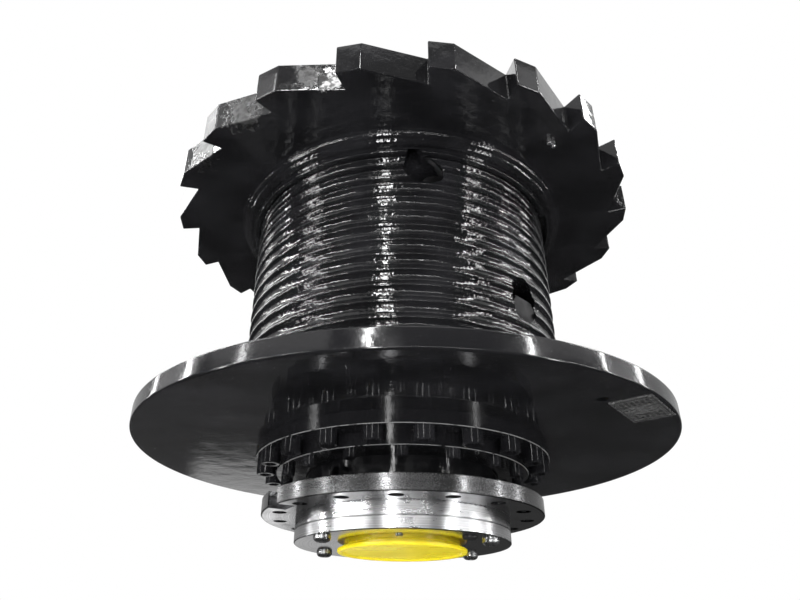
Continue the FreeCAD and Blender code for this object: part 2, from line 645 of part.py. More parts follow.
def entry_notch():
    """Pointed lead-in above the rope entry."""
    corners = [Vector(-ENTRY_R, 0, 0), Vector(ENTRY_R, 0, 0), Vector(-LEAD_IN_SKEW, 0, LEAD_IN_H)]
    face = Part.Face(Part.makePolygon(corners + corners[:1]))
    depth = BARREL_R - BARREL_BORE_R
    prism = face.extrude(Vector(0, -depth, 0)).translated(Vector(0, depth / 2, 0))
    return placed(prism, BARREL_R, LEAD_IN_AZ, ENTRY_Z + LEAD_IN_LIFT)


def rope_barrel():
    """Grooved barrel with parallel rope grooves and two rope pockets."""
    top = Z_RATCHET - GROOVE_END_GAP
    centre_r = BARREL_R - GROOVE_DEPTH + GROOVE_R
    half = math.sqrt(GROOVE_R ** 2 - (centre_r - BARREL_R) ** 2)
    start = Vector(BARREL_BORE_R, 0, Z_BARREL)
    edges = [Part.LineSegment(start, Vector(BARREL_R, 0, Z_BARREL)).toShape()]
    last = Vector(BARREL_R, 0, Z_BARREL)
    for i in range(GROOVE_COUNT):
        middle = top - GROOVE_PITCH * (GROOVE_COUNT - i - 0.5)
        low = Vector(BARREL_R, 0, middle - half)
        deep = Vector(BARREL_R - GROOVE_DEPTH, 0, middle)
        high = Vector(BARREL_R, 0, middle + half)
        edges.append(Part.LineSegment(last, low).toShape())
        edges.append(Part.Arc(low, deep, high).toShape())
        last = high
    corners = [last, Vector(BARREL_R, 0, Z_RATCHET), Vector(BARREL_BORE_R, 0, Z_RATCHET), start]
    edges += [Part.LineSegment(a, b).toShape() for a, b in zip(corners, corners[1:])]
    barrel = Part.Face(Part.Wire(edges)).revolve(Vector(0, 0, 0), Vector(0, 0, 1), 360)
    cuts = [rope_pocket(ENTRY_AZ, ENTRY_Z, ENTRY_R, POCKET_SLANT_ANGLE, 0), entry_notch()]
    cuts.append(rope_pocket(ANCHOR_AZ, ANCHOR_Z, ANCHOR_R, POCKET_SLANT_ANGLE, ANCHOR_RISE))
    return barrel.cut(cuts)


def rope_wedge():
    """Wedge that jams the rope end in the lower half of its pocket."""
    fill = rope_pocket(ANCHOR_AZ, ANCHOR_Z, ANCHOR_R - WEDGE_CLEAR, POCKET_SLANT_ANGLE, ANCHOR_RISE)
    wall = tube(BARREL_R - WEDGE_INSET, BARREL_BORE_R + WEDGE_INSET, Z_BARREL, Z_RATCHET)
    side = BARREL_R
    above = Part.makeBox(side, side, side, Vector(-side / 2, -side / 2, 0))
    above = above.rotated(Vector(0, 0, 0), Vector(1, 0, 0), WEDGE_TILT_ANGLE)
    return fill.common(wall).cut(placed(above, BARREL_R, ANCHOR_AZ, ANCHOR_Z))


def riser_ring():
    """Filler ring beside the ratchet wheel that lifts the rope to its second layer."""
    low = Z_RATCHET - GROOVE_END_GAP + SPIGOT_CLEAR
    outer = BARREL_R + RISER_H
    points = [(BARREL_R, low), (outer - EDGE_BREAK, low), (outer, low + EDGE_BREAK)]
    points += [(outer, Z_RATCHET), (BARREL_R, Z_RATCHET)]
    corners = [Vector(r, 0, z) for r, z in points]
    face = Part.Face(Part.makePolygon(corners + corners[:1]))
    band = face.revolve(Vector(0, 0, 0), Vector(0, 0, 1), RISER_SPAN_ANGLE)
    return spun(band, RISER_AZ_END - RISER_SPAN_ANGLE - PLUS_X_AZ).cut(entry_notch())


def drum_welds():
    """Fillet welds of the barrel to the ratchet wheel and to the drum flange."""
    inner = BARREL_R + RISER_H
    low = Z_RATCHET - WELD_H
    chord = Vector(WELD_R - inner, 0, WELD_H)
    crown = Vector(chord.z, 0, -chord.x).normalize() * WELD_CROWN
    toe = Vector(inner, 0, low)
    arc = Part.Arc(toe, toe + chord * 0.5 + crown, toe + chord).toShape()
    corner = Vector(inner, 0, Z_RATCHET)
    sides = [Part.LineSegment(Vector(WELD_R, 0, Z_RATCHET), corner).toShape()]
    sides.append(Part.LineSegment(corner, Vector(inner, 0, low)).toShape())
    face = Part.Face(Part.Wire([arc] + sides))
    upper = face.revolve(Vector(0, 0, 0), Vector(0, 0, 1), 360)
    points = [(BARREL_R, Z_BARREL), (BARREL_R + FLANGE_WELD, Z_BARREL)]
    points.append((BARREL_R, Z_BARREL + FLANGE_WELD))
    return group([upper, turned(points)])


def ratchet_wheel():
    """Thick ratchet plate: undercut locking faces, short crests and long straight backs."""
    points = []
    for i in range(RATCHET_TOOTH_COUNT):
        tip = RATCHET_AZ + 360.0 * i / RATCHET_TOOTH_COUNT
        for r, az in ((RATCHET_ROOT_R, tip + RATCHET_UNDERCUT_ANGLE), (RATCHET_TIP_R, tip),
                      (RATCHET_TIP_R, tip + RATCHET_CREST_ANGLE)):
            a = math.radians(az - PLUS_X_AZ)
            points.append(Vector(r * math.cos(a), r * math.sin(a), Z_RATCHET))
    face = Part.Face(Part.makePolygon(points + points[:1]))
    plate = face.extrude(Vector(0, 0, RATCHET_T))
    rims = [e for e in plate.Edges if e.BoundBox.ZLength < EDGE_BREAK]
    plate = plate.makeChamfer(RATCHET_EDGE, rims)
    return plate.cut(rod(RATCHET_BORE_R, Z_RATCHET, Z_TOP))


def ratchet_pegs():
    """Two small locating pegs on the drum side of the ratchet wheel."""
    points = [(0, -PEG_H), (PEG_R - EDGE_BREAK, -PEG_H), (PEG_R, EDGE_BREAK - PEG_H)]
    peg = turned(points + [(PEG_R, 0), (0, 0)])
    turns = (-PEG_PITCH_ANGLE / 2, PEG_PITCH_ANGLE / 2)
    return group([placed(peg, PEG_PCD_R, PEG_AZ + turn, Z_RATCHET) for turn in turns])


def nameplate():
    """Blank rating plate on the drum flange, with its four rivets."""
    plate = Part.makeBox(PLATE_W, PLATE_H, PLATE_T)
    plate = plate.translated(Vector(-PLATE_W / 2, -PLATE_H / 2, -PLATE_T))
    points = [(0, -RIVET_H), (RIVET_FACE_R, -RIVET_H), (RIVET_R, -RIVET_EDGE_H), (RIVET_R, 0), (0, 0)]
    across = PLATE_W / 2 - RIVET_INSET
    along = PLATE_H / 2 - RIVET_INSET
    spots = [(x, y) for x in (-across, across) for y in (-along, along)]
    solids = [plate] + [turned(points).translated(Vector(x, y, -PLATE_T)) for x, y in spots]
    return group([placed(s, PLATE_PCD_R, PLATE_AZ, Z_DRUM) for s in solids])


def main_inner_races():
    outer = SPINDLE_SEAT_R + RACE_T
    return group([tube(outer, SPINDLE_SEAT_R, z, z + BEARING_W) for z in (Z_RACE, Z_RACE_TWO)])


def main_outer_races():
    bore = RACE_OUTER_R - RACE_T
    return group([tube(RACE_OUTER_R, bore, z, z + BEARING_W) for z in (Z_RACE, Z_RACE_TWO)])


def main_bearing_rollers():
    roller = rod(ROLLER_R, AXIAL_GAP / 2, BEARING_W - AXIAL_GAP / 2)
    rows = [pattern(roller, ROLLER_PCD_R, ROLLER_COUNT, 0, z) for z in (Z_RACE, Z_RACE_TWO)]
    return group(rows[0] + rows[1])


def inner_spacer():
    return tube(SPINDLE_SEAT_R + SPACER_T, SPINDLE_SEAT_R, Z_SPACER, Z_RACE_TWO)


def outer_spacer():
    return tube(RACE_OUTER_R, RACE_OUTER_R - SPACER_T, Z_SPACER, Z_RACE_TWO)


def bearing_nut():
    """Slotted nut that clamps the inner races on the spindle."""
    body = tube(NUT_R, SPINDLE_SEAT_R, Z_NUT, Z_NUT + NUT_T)
    slot = Part.makeBox(NUT_T, NUT_T, NUT_T).translated(Vector(-NUT_T / 2, -NUT_T / 2, 0))
    return body.cut(pattern(slot, NUT_R, NUT_SLOT_COUNT, 0, Z_NUT))


def carrier_posts(first, orbit, low, high):
    post = rod(POST_R, low, high)
    return [placed(post, orbit, a) for a in between_planets(first)]


def stage_two_carrier():
    """Fixed carrier of the output stage, screwed to the end of the spindle."""
    lower = tube(CARRIER_R, SHAFT_R + INPUT_BUSH_T, Z_SPINDLE_END, Z_PLANET_TWO - AXIAL_GAP)
    top = Z_CARRIER_TWO_TOP + CARRIER_TWO_TOP_T
    upper = tube(CARRIER_R, CARRIER_TWO_BORE_R, Z_CARRIER_TWO_TOP, top)
    posts = carrier_posts(PLANET_TWO_AZ, POST_ORBIT_TWO_R, Z_PLANET_TWO - AXIAL_GAP, Z_CARRIER_TWO_TOP)
    body = lower.fuse([upper] + posts)
    low = Z_SPINDLE_END + PIN_INSET
    pin = rod(PIN_TWO_R, low, top)
    cuts = [placed(pin, ORBIT_TWO_R, a) for a in planet_azimuths(PLANET_TWO_AZ)]
    hole = screw_hole(M12, CARRIER_TWO_T)
    cuts += [placed(hole, CARRIER_SCREW_PCD_R, a, Z_SPINDLE_END) for a in carrier_screw_azimuths()]
    return body.cut(cuts).removeSplitter()


def carrier_screws():
    screw = cap_screw(M12, upward=True)
    height = Z_PLANET_TWO - AXIAL_GAP
    return group([placed(screw, CARRIER_SCREW_PCD_R, a, height) for a in carrier_screw_azimuths()])


def stage_two_pins():
    pin = rod(PIN_TWO_R, Z_SPINDLE_END + PIN_INSET, Z_CARRIER_TWO_TOP + CARRIER_TWO_TOP_T)
    return group([placed(pin, ORBIT_TWO_R, a) for a in planet_azimuths(PLANET_TWO_AZ)])


def stage_one_carrier():
    """Turning carrier of the input stage, which also drives the sun of the output stage."""
    lower = tube(CARRIER_R, SUN_TWO_NECK_R, Z_CARRIER_ONE, Z_PLANET_ONE - AXIAL_GAP)
    top = Z_CARRIER_ONE_TOP + CARRIER_ONE_TOP_T
    upper = tube(CARRIER_R, SUN_TWO_NECK_R, Z_CARRIER_ONE_TOP, top)
    posts = carrier_posts(PLANET_ONE_AZ, POST_ORBIT_ONE_R, Z_PLANET_ONE - AXIAL_GAP, Z_CARRIER_ONE_TOP)
    body = lower.fuse([upper] + posts)
    pin = rod(PIN_ONE_R, Z_CARRIER_ONE + PIN_INSET, top)
    pins = [placed(pin, ORBIT_ONE_R, a) for a in planet_azimuths(PLANET_ONE_AZ)]
    return body.cut(pins).removeSplitter()


def stage_one_pins():
    pin = rod(PIN_ONE_R, Z_CARRIER_ONE + PIN_INSET, Z_CARRIER_ONE_TOP + CARRIER_ONE_TOP_T)
    return group([placed(pin, ORBIT_ONE_R, a) for a in planet_azimuths(PLANET_ONE_AZ)])


def sun_gear_two():
    """Output sun: its teeth run between the fixed planets, its neck is carried by the turning carrier."""
    first = sun_phase(SUN_TWO_TOOTH_COUNT, PLANET_TWO_TOOTH_COUNT, PLANET_TWO_AZ)
    teeth = gear(SUN_TWO_TOOTH_COUNT, first, Z_PLANET_TWO, Z_PLANET_TWO + STAGE_TWO_FACE, 0)
    neck = rod(SUN_TWO_NECK_R, Z_PLANET_TWO + STAGE_TWO_FACE, Z_PLANET_ONE - AXIAL_GAP)
    body = teeth.fuse(neck)
    return body.cut(rod(SUN_TWO_BORE_R, Z_PLANET_TWO, Z_PLANET_ONE)).removeSplitter()


def planet_gear(teeth, orbit, azimuth, low, face, pin_r):
    first = planet_phase(teeth, azimuth)
    bore = pin_r + BUSH_CLEAR + BUSH_T
    blank = gear(teeth, first, low, low + face, bore)
    a = math.radians(azimuth - PLUS_X_AZ)
    return blank.translated(Vector(orbit * math.cos(a), orbit * math.sin(a), 0))


def planet_bush(orbit, azimuth, low, face, pin_r):
    bore = pin_r + BUSH_CLEAR
    return placed(tube(bore + BUSH_T, bore, low, low + face), orbit, azimuth)


def input_shaft():
    """Input shaft with the motor coupling sleeve, the brake hub and the input sun in one piece."""
    low = COUPLING_Z
    coupling_top = low + COUPLING_LEN
    hub = DISC_STACK_TOP - BRAKE_HUB_LEN
    points = [(COUPLING_BORE_R, low), (COUPLING_R, low), (COUPLING_R, coupling_top)]
    points += [(SHAFT_R, coupling_top), (SHAFT_R, hub), (BRAKE_HUB_R, hub), (BRAKE_HUB_R, DISC_STACK_TOP)]
    points += [(SHAFT_R, DISC_STACK_TOP), (SHAFT_R, Z_PLANET_ONE), (0, Z_PLANET_ONE)]
    points += [(0, coupling_top - DISC_T), (COUPLING_BORE_R, coupling_top - DISC_T)]
    first = sun_phase(SUN_ONE_TOOTH_COUNT, PLANET_ONE_TOOTH_COUNT, PLANET_ONE_AZ)
    sun = gear(SUN_ONE_TOOTH_COUNT, first, Z_PLANET_ONE, Z_PLANET_ONE + STAGE_ONE_FACE, 0)
    return turned(points).fuse(sun).removeSplitter()


def disc_heights(first, count):
    step = DISC_T + DISC_GAP
    top = DISC_STACK_TOP - DISC_T
    return [top - step * (first + 2 * i) for i in range(count)]


def brake_outer_discs():
    """Steel discs keyed to the spindle bore."""
    heights = disc_heights(0, INNER_DISC_COUNT + 1)
    return group([tube(BRAKE_BORE_R, OUTER_DISC_BORE_R, z, z + DISC_T) for z in heights])


def brake_inner_discs():
    """Friction discs splined to the hub of the input shaft."""
    heights = disc_heights(1, INNER_DISC_COUNT)
    return group([tube(INNER_DISC_R, BRAKE_HUB_R, z, z + DISC_T) for z in heights])


def piston_top():
    return disc_heights(2 * INNER_DISC_COUNT, 1)[0] - DISC_GAP


def seal_grooves():
    """Lower heights of the two seal grooves of the brake piston."""
    step = (PISTON_T - 2 * PISTON_SEAL_W) / 3
    low = piston_top() - PISTON_T + step
    return [low, low + PISTON_SEAL_W + step]


def brake_piston():
    """Annular brake piston with two seal grooves."""
    top = piston_top()
    outer = BRAKE_BORE_R - DISC_FIT
    floor = BRAKE_BORE_R - PISTON_SEAL_DEPTH
    points = [(PISTON_BORE_R, top - PISTON_T), (outer, top - PISTON_T)]
    for low in seal_grooves():
        high = low + PISTON_SEAL_W
        points += [(outer, low), (floor, low), (floor, high), (outer, high)]
    return turned(points + [(outer, top), (PISTON_BORE_R, top)])


def piston_seals():
    floor = BRAKE_BORE_R - PISTON_SEAL_DEPTH
    return group([tube(BRAKE_BORE_R, floor, low, low + PISTON_SEAL_W) for low in seal_grooves()])


def brake_springs():
    """Stacks of conical disc springs that press the brake on."""
    top = piston_top() - PISTON_T
    step = (SPRING_LEN - SPRING_THICK) / SPRING_CONE_COUNT
    low = top - SPRING_LEN
    radii = (SPRING_R - SPRING_THICK, SPRING_BORE_R)
    inner = [(radii[i % 2], i * step) for i in range(SPRING_CONE_COUNT + 1)]
    outer = [(r + SPRING_THICK, z) for r, z in inner]
    points = inner + [(inner[-1][0], SPRING_LEN), (outer[-1][0], SPRING_LEN)] + outer[::-1]
    stack = turned(points)
    return group(pattern(stack, SPRING_PCD_R, SPRING_COUNT, 0, low))


def spring_plate():
    """Backing plate between the motor cover and the brake springs."""
    low = -SPIGOT_H
    high = piston_top() - PISTON_T - SPRING_LEN
    return tube(BRAKE_BORE_R, PISTON_BORE_R, low, high)


def input_bush():
    bore = SHAFT_R + BUSH_CLEAR
    return tube(bore + INPUT_BUSH_T, bore, Z_SPINDLE_END - END_WALL_T, Z_SPINDLE_END)


def outboard_hub():
    """Bearing hub in the middle of the ratchet wheel."""
    points = [(HUB_FLOOR_R, Z_HUB), (HUB_R, Z_HUB), (HUB_R, Z_TOP), (OUTBOARD_RACE_R, Z_TOP)]
    points += [(OUTBOARD_RACE_R, Z_HUB + HUB_FLOOR), (HUB_FLOOR_R, Z_HUB + HUB_FLOOR)]
    tap = rod(HUB_M10[0], HUB_COVER_T - HUB_M10[4], 0)
    return turned(points).cut(pattern(tap, HUB_SCREW_PCD_R, HUB_SCREW_COUNT, 0, Z_TOP))


def hub_cover():
    body = tube(HUB_COVER_R, HUB_COVER_BORE_R, Z_TOP, Z_TOP + HUB_COVER_T)
    hole = screw_hole(HUB_M10, HUB_COVER_T)
    return body.cut(pattern(hole, HUB_SCREW_PCD_R, HUB_SCREW_COUNT, 0, Z_TOP))


def hub_cover_screws():
    screw = cap_screw(HUB_M10, upward=True)
    return group(pattern(screw, HUB_SCREW_PCD_R, HUB_SCREW_COUNT, 0, Z_TOP + HUB_COVER_T))


def outboard_inner_race():
    return tube(TRUNNION_R + OUTBOARD_RACE_T, TRUNNION_R, Z_TOP - OUTBOARD_W, Z_TOP - EDGE_BREAK)


def outboard_outer_race():
    return tube(OUTBOARD_RACE_R, OUTBOARD_RACE_R - OUTBOARD_RACE_T, Z_TOP - OUTBOARD_W, Z_TOP)


def outboard_rollers():
    low = Z_TOP - OUTBOARD_W + AXIAL_GAP / 2
    roller = rod(OUTBOARD_ROLLER_R, low, Z_TOP - AXIAL_GAP / 2)
    return group(pattern(roller, OUTBOARD_PCD_R, OUTBOARD_ROLLER_COUNT, 0))


def planets():
    """Nodes of the planets of both stages, one gear and one bush for each planet."""
    made = {}
    one = (ORBIT_ONE_R, Z_PLANET_ONE, STAGE_ONE_FACE, PIN_ONE_R)
    two = (ORBIT_TWO_R, Z_PLANET_TWO, STAGE_TWO_FACE, PIN_TWO_R)
    stages = (("one", PLANET_ONE_TOOTH_COUNT, PLANET_ONE_AZ, one),
              ("two", PLANET_TWO_TOOTH_COUNT, PLANET_TWO_AZ, two))
    for stage, teeth, first, (orbit, low, face, pin_r) in stages:
        for i, azimuth in enumerate(planet_azimuths(first), 1):
            made[f"planet_{stage}_{i}"] = planet_gear(teeth, orbit, azimuth, low, face, pin_r)
            made[f"planet_{stage}_{i}_bush"] = planet_bush(orbit, azimuth, low, face, pin_r)
    return made


SINGLE_NODES = (
    mounting_flange, spindle, motor_cover, motor_cover_screws, port_plugs, transport_cap, seal_carrier,
    seal_carrier_screws, shaft_seal, gear_housing, housing_screws, ring_gear, housing_cover,
    cover_snap_ring, drum_flange, rope_barrel, rope_wedge, riser_ring, drum_welds, ratchet_wheel,
    ratchet_pegs, nameplate, main_inner_races, main_outer_races, main_bearing_rollers,
    inner_spacer, outer_spacer, bearing_nut, stage_two_carrier, carrier_screws,
    stage_two_pins, stage_one_carrier, stage_one_pins, sun_gear_two, input_shaft, brake_outer_discs,
    brake_inner_discs, brake_piston, piston_seals, brake_springs, spring_plate, input_bush,
    outboard_hub, hub_cover, hub_cover_screws, outboard_inner_race, outboard_outer_race,
    outboard_rollers,
)


def main():
    os.makedirs("parts", exist_ok=True)
    made = {maker.__name__: maker() for maker in SINGLE_NODES}
    made.update(planets())
    for name, shape in made.items():
        shape.exportStep(f"parts/{name}.step")


main()
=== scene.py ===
import json
import math

import bmesh
import bpy
from bpy.props import FloatProperty, FloatVectorProperty, IntProperty, PointerProperty
from bpy.types import Operator, Panel, PropertyGroup
from mathutils import Matrix, Vector, noise


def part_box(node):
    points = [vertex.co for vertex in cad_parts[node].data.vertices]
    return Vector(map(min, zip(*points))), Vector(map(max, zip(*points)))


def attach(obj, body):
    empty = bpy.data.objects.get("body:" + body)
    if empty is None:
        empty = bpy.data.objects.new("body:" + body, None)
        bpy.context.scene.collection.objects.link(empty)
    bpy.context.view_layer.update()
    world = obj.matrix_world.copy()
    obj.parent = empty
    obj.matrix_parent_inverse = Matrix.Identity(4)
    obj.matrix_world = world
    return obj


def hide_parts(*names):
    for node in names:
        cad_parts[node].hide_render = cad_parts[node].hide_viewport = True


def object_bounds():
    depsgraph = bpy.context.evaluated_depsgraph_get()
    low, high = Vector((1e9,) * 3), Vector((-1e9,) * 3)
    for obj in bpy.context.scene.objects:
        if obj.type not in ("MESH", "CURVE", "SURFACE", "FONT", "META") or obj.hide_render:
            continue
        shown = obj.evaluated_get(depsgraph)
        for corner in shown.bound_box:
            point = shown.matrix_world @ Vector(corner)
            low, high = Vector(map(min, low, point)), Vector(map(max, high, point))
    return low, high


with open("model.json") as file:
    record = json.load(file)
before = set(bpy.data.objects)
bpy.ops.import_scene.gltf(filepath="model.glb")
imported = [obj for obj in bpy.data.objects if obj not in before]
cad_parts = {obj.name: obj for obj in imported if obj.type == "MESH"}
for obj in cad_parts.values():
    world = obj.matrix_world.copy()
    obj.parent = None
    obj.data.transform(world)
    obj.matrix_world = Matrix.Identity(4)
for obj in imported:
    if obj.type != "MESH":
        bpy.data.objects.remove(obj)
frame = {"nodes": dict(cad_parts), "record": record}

bl_info = {
    "name": "Crane gear reducer",
    "version": (1, 0, 0),
    "blender": (4, 5, 0),
    "location": "3D View > Sidebar > Reducer",
    "description": "Dresses a crane winch drum with its gear reducer, and its studio",
    "category": "Object",
}

# Lengths are metres. Azimuths are degrees about Z from -Y, the viewer's side, towards +X.
TURN = 2 * math.pi
SPIN_STEPS = 240
SHARP_ANGLE = math.radians(32)
MERGE_GAP = 1e-6
UP = Vector((0, 0, 1))
# How far a drill reaches past both faces of a piece
DRILL_PAST = 0.01
LOOK = "_look"
# How far the rings of turned steel climb with the height, as a share of the radius
RING_CLIMB = 1.31
# Widths of the bands at the rims where a finish changes: a painted sheen on the enamel's rims, a painted shade
# on the mounting flange's rim
RIM_BLEND = 0.0006
DISC_SHEEN_BAND = 0.0008
FLANGE_SHADE_BAND = 0.002
FACED_BAND = 0.0004
# Heights between which the paint on the neck begins
NECK_PAINT = (0.0005, 0.0015)
# Half sizes of the plate and of its paler middle, size of a field and width of the lines between fields
PLATE_HALF = (0.0395, 0.023)
PLATE_MIDDLE = (0.014, 0.015)
PLATE_FIELD = (0.021, 0.0056)
PLATE_LINE = 0.0009
# How far above the middle of the rope entry the lead-in starts
LEAD_IN_LIFT = 0.002
# Tooth, reach and paleness of each mottled painted glint on the ratchet's teeth, and how much darker its dark
# parts are
GLINT_TEETH = ((2, 0.020, 0.006), (3, 0.032, 0.040), (4, 0.030, 0.010))
GLINT_CONTRAST = 9
# How far past its tooth's tip a painted glint lies, in tooth crests
GLINT_FLANK = 2.3
# Dark and pale tone of the chip in the enamel
CHIP_TONES = (0.05, 0.42)
CAD_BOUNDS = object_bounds()
DISC_LOW, DISC_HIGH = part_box("drum_flange")
BARREL_LOW, BARREL_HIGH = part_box("rope_barrel")
RATCHET_LOW, RATCHET_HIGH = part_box("ratchet_wheel")


def length(name, description, default):
    return FloatProperty(name=name, description=description, default=default, min=0, unit="LENGTH",
                         precision=5)


def angle(name, description, default):
    return FloatProperty(name=name, description=description, default=math.radians(default),
                         subtype="ANGLE")


def count(name, description, default):
    return IntProperty(name=name, description=description, default=default, min=1)


def colour(name, description, default):
    return FloatVectorProperty(name=name, description=description, default=default, min=0, max=1,
                               size=3, subtype="COLOR")


class DrumSizes(PropertyGroup):
    """Sizes of the rope drum, in metres and radians."""

    disc_radius: length("Disc radius", "Radius of the large flange disc", DISC_HIGH.x)
    disc_bore: length("Disc bore", "Radius of the bore that fits the gear housing", 0.1671)
    disc_edge: length("Disc edge", "Rounding of the disc's rims", 0.003)
    disc_hole: length("Disc hole", "Radius of the single small hole in the disc", 0.0065)
    disc_hole_radius: length("Disc hole place", "Distance of the small hole from the axis", 0.309)
    disc_hole_azimuth: angle("Disc hole azimuth", "Where the small hole is", 43.3)
    barrel_radius: length("Barrel radius", "Radius over the ridges of the barrel", 0.223)
    barrel_bore: length("Barrel bore", "Inner radius of the barrel", 0.190)
    groove_count: count("Grooves", "Number of rope grooves", 14)
    groove_pitch: length("Groove pitch", "Distance between rope grooves", 0.0214)
    groove_radius: length("Groove radius", "Radius of a rope groove", 0.0107)
    groove_depth: length("Groove depth", "Depth of a rope groove", 0.0052)
    groove_margin: length("Groove margin", "Plain band beside the ratchet wheel", 0.022)
    ridge_round: length("Ridge rounding", "How far the lacquer rounds the ridges", 0.0011)
    lacquer_relief: length("Lacquer relief", "Unevenness of the thick lacquer on the barrel", 0.00045)
    entry_azimuth: angle("Entry azimuth", "Where the rope entry is", 7.5)
    entry_height: length("Entry height", "Height of the rope entry", 0.404)
    entry_radius: length("Entry radius", "Radius of the rope entry", 0.019)
    lead_in_azimuth: angle("Lead-in azimuth", "Where the pointed lead-in is", 5.5)
    lead_in_height: length("Lead-in height", "Height of the pointed lead-in", 0.038)
    lead_in_skew: length("Lead-in skew", "How far its point leans", 0.0063)
    anchor_azimuth: angle("Anchor azimuth", "Where the rope anchor pocket is", 44.5)
    anchor_height: length("Anchor height", "Height of the rope anchor pocket", 0.245)
    anchor_radius: length("Anchor radius", "Radius of the pocket's round ends", 0.017)
    anchor_rise: length("Anchor rise", "Straight part of the pocket", 0.024)
    pocket_slant: angle("Pocket slant", "How far the rope pockets run aslant", -42)
    riser_height: length("Riser height", "How far the riser ring stands up", 0.009)
    riser_end: angle("Riser end", "Azimuth where the riser ring stops", 68)
    riser_span: angle("Riser span", "How far round the riser ring goes", 215)
    weld_leg: length("Weld leg", "Reach of the weld on the ratchet wheel", 0.021)
    weld_height: length("Weld height", "Reach of the weld on the barrel", 0.017)
    weld_crown: length("Weld crown", "How far the weld bulges", 0.005)
    weld_passes: count("Weld passes", "Number of beads laid side by side in the weld", 2)
    weld_pass_crown: length("Pass crown", "How far each of these beads bulges", 0.0018)
    weld_ripple: length("Weld ripple", "Relief of the weld's ripples", 0.0007)
    foot_weld: length("Foot weld", "Leg of the weld at the flange disc", 0.010)
    tooth_count: count("Teeth", "Number of ratchet teeth", 20)
    tooth_tip: length("Tooth tips", "Radius of the ratchet's tips", 0.350)
    tooth_root: length("Tooth roots", "Radius of the ratchet's roots", 0.324)
    tooth_azimuth: angle("First tooth", "Azimuth of one tip", 5.5)
    tooth_crest: angle("Tooth crest", "Angle of the short crest", 5.2)
    tooth_undercut: angle("Tooth undercut", "How far the locking face leans", 0.7)
    tooth_edge: length("Tooth edge", "Rounding of the painted edges", 0.002)
    chip_azimuth: angle("Chip azimuth", "Where the enamel came off a tooth", -14.8)
    chip_rise: length("Chip rise", "Height of the chip above the ratchet's lower face", 0.0145)
    chip_reach: length("Chip reach", "Radius of the chip", 0.0155)
    thread_plug: length("Thread plug", "Radius of the protective plug in a motor hole", 0.0092)
    motor_hole_radius: length("Motor hole place", "Distance of the motor's tapped holes from the axis",
                              0.1143)
    motor_hole_azimuth: angle("Motor hole azimuth", "Where the plugged motor hole is", 44)
    leak_plug: length("Leak plug", "Radius of the small domed plug", 0.0048)
    leak_plug_radius: length("Leak plug place", "Distance of the small plug from the axis", 0.097)
    leak_plug_azimuth: angle("Leak plug azimuth", "Where the small plug is", -2)
    plug_rise: FloatProperty(name="Plug rise", description="Rise of a plug as a share of its radius",
                             default=0.36)
    ratchet_bore: length("Ratchet bore", "Radius of the bore for the bearing hub", 0.130)


class DrumColours(PropertyGroup):
    """Colours of the finishes and of the studio."""

    enamel: colour("Enamel", "Black gloss enamel", (0.0045, 0.0045, 0.0050))
    bare_steel: colour("Bare steel", "Turned steel", (0.60, 0.60, 0.61))
    gear_steel: colour("Gear steel", "Hardened and ground steel", (0.46, 0.46, 0.48))
    iron: colour("Iron", "Machined nodular iron", (0.24, 0.24, 0.25))
    zinc: colour("Zinc", "Bright plated screws", (0.66, 0.66, 0.67))
    bronze: colour("Bronze", "Turned bronze", (0.62, 0.40, 0.16))
    rubber: colour("Rubber", "Nitrile rubber", (0.015, 0.015, 0.016))
    lining: colour("Lining", "Sintered friction lining", (0.14, 0.10, 0.07))
    cap: colour("Cap", "Yellow moulded plastic", (0.86, 0.70, 0.012))
    plate: colour("Plate", "Blank aluminium plate", (0.50, 0.50, 0.50))
    floor: colour("Floor", "Pale studio floor", (0.80, 0.80, 0.80))


def point(radius, azimuth, height):
    return Vector((radius * math.sin(azimuth), -radius * math.cos(azimuth), height))


# Finishes


class Wire:
    """A shader socket that can be used in plain arithmetic, which adds the Math nodes."""

    def __init__(self, sheet, socket):
        self.sheet = sheet
        self.socket = socket

    def __add__(self, other):
        return self.sheet.maths("ADD", self, other)

    def __sub__(self, other):
        return self.sheet.maths("SUBTRACT", self, other)

    def __rsub__(self, other):
        return self.sheet.maths("SUBTRACT", other, self)

    def __mul__(self, other):
        return self.sheet.maths("MULTIPLY", self, other)

    def __truediv__(self, other):
        return self.sheet.maths("DIVIDE", self, other)

    def __pow__(self, other):
        return self.sheet.maths("POWER", self, other)

    def __abs__(self):
        return self.sheet.maths("ABSOLUTE", self)

    def step(self, low, high, out_low=0.0, out_high=1.0):
        """A smooth change from one value to the other while this one goes from low to high."""
        return self.sheet.add("ShaderNodeMapRange", {"interpolation_type": "SMOOTHSTEP"},
                              {0: self, 1: low, 2: high, 3: out_low, 4: out_high})


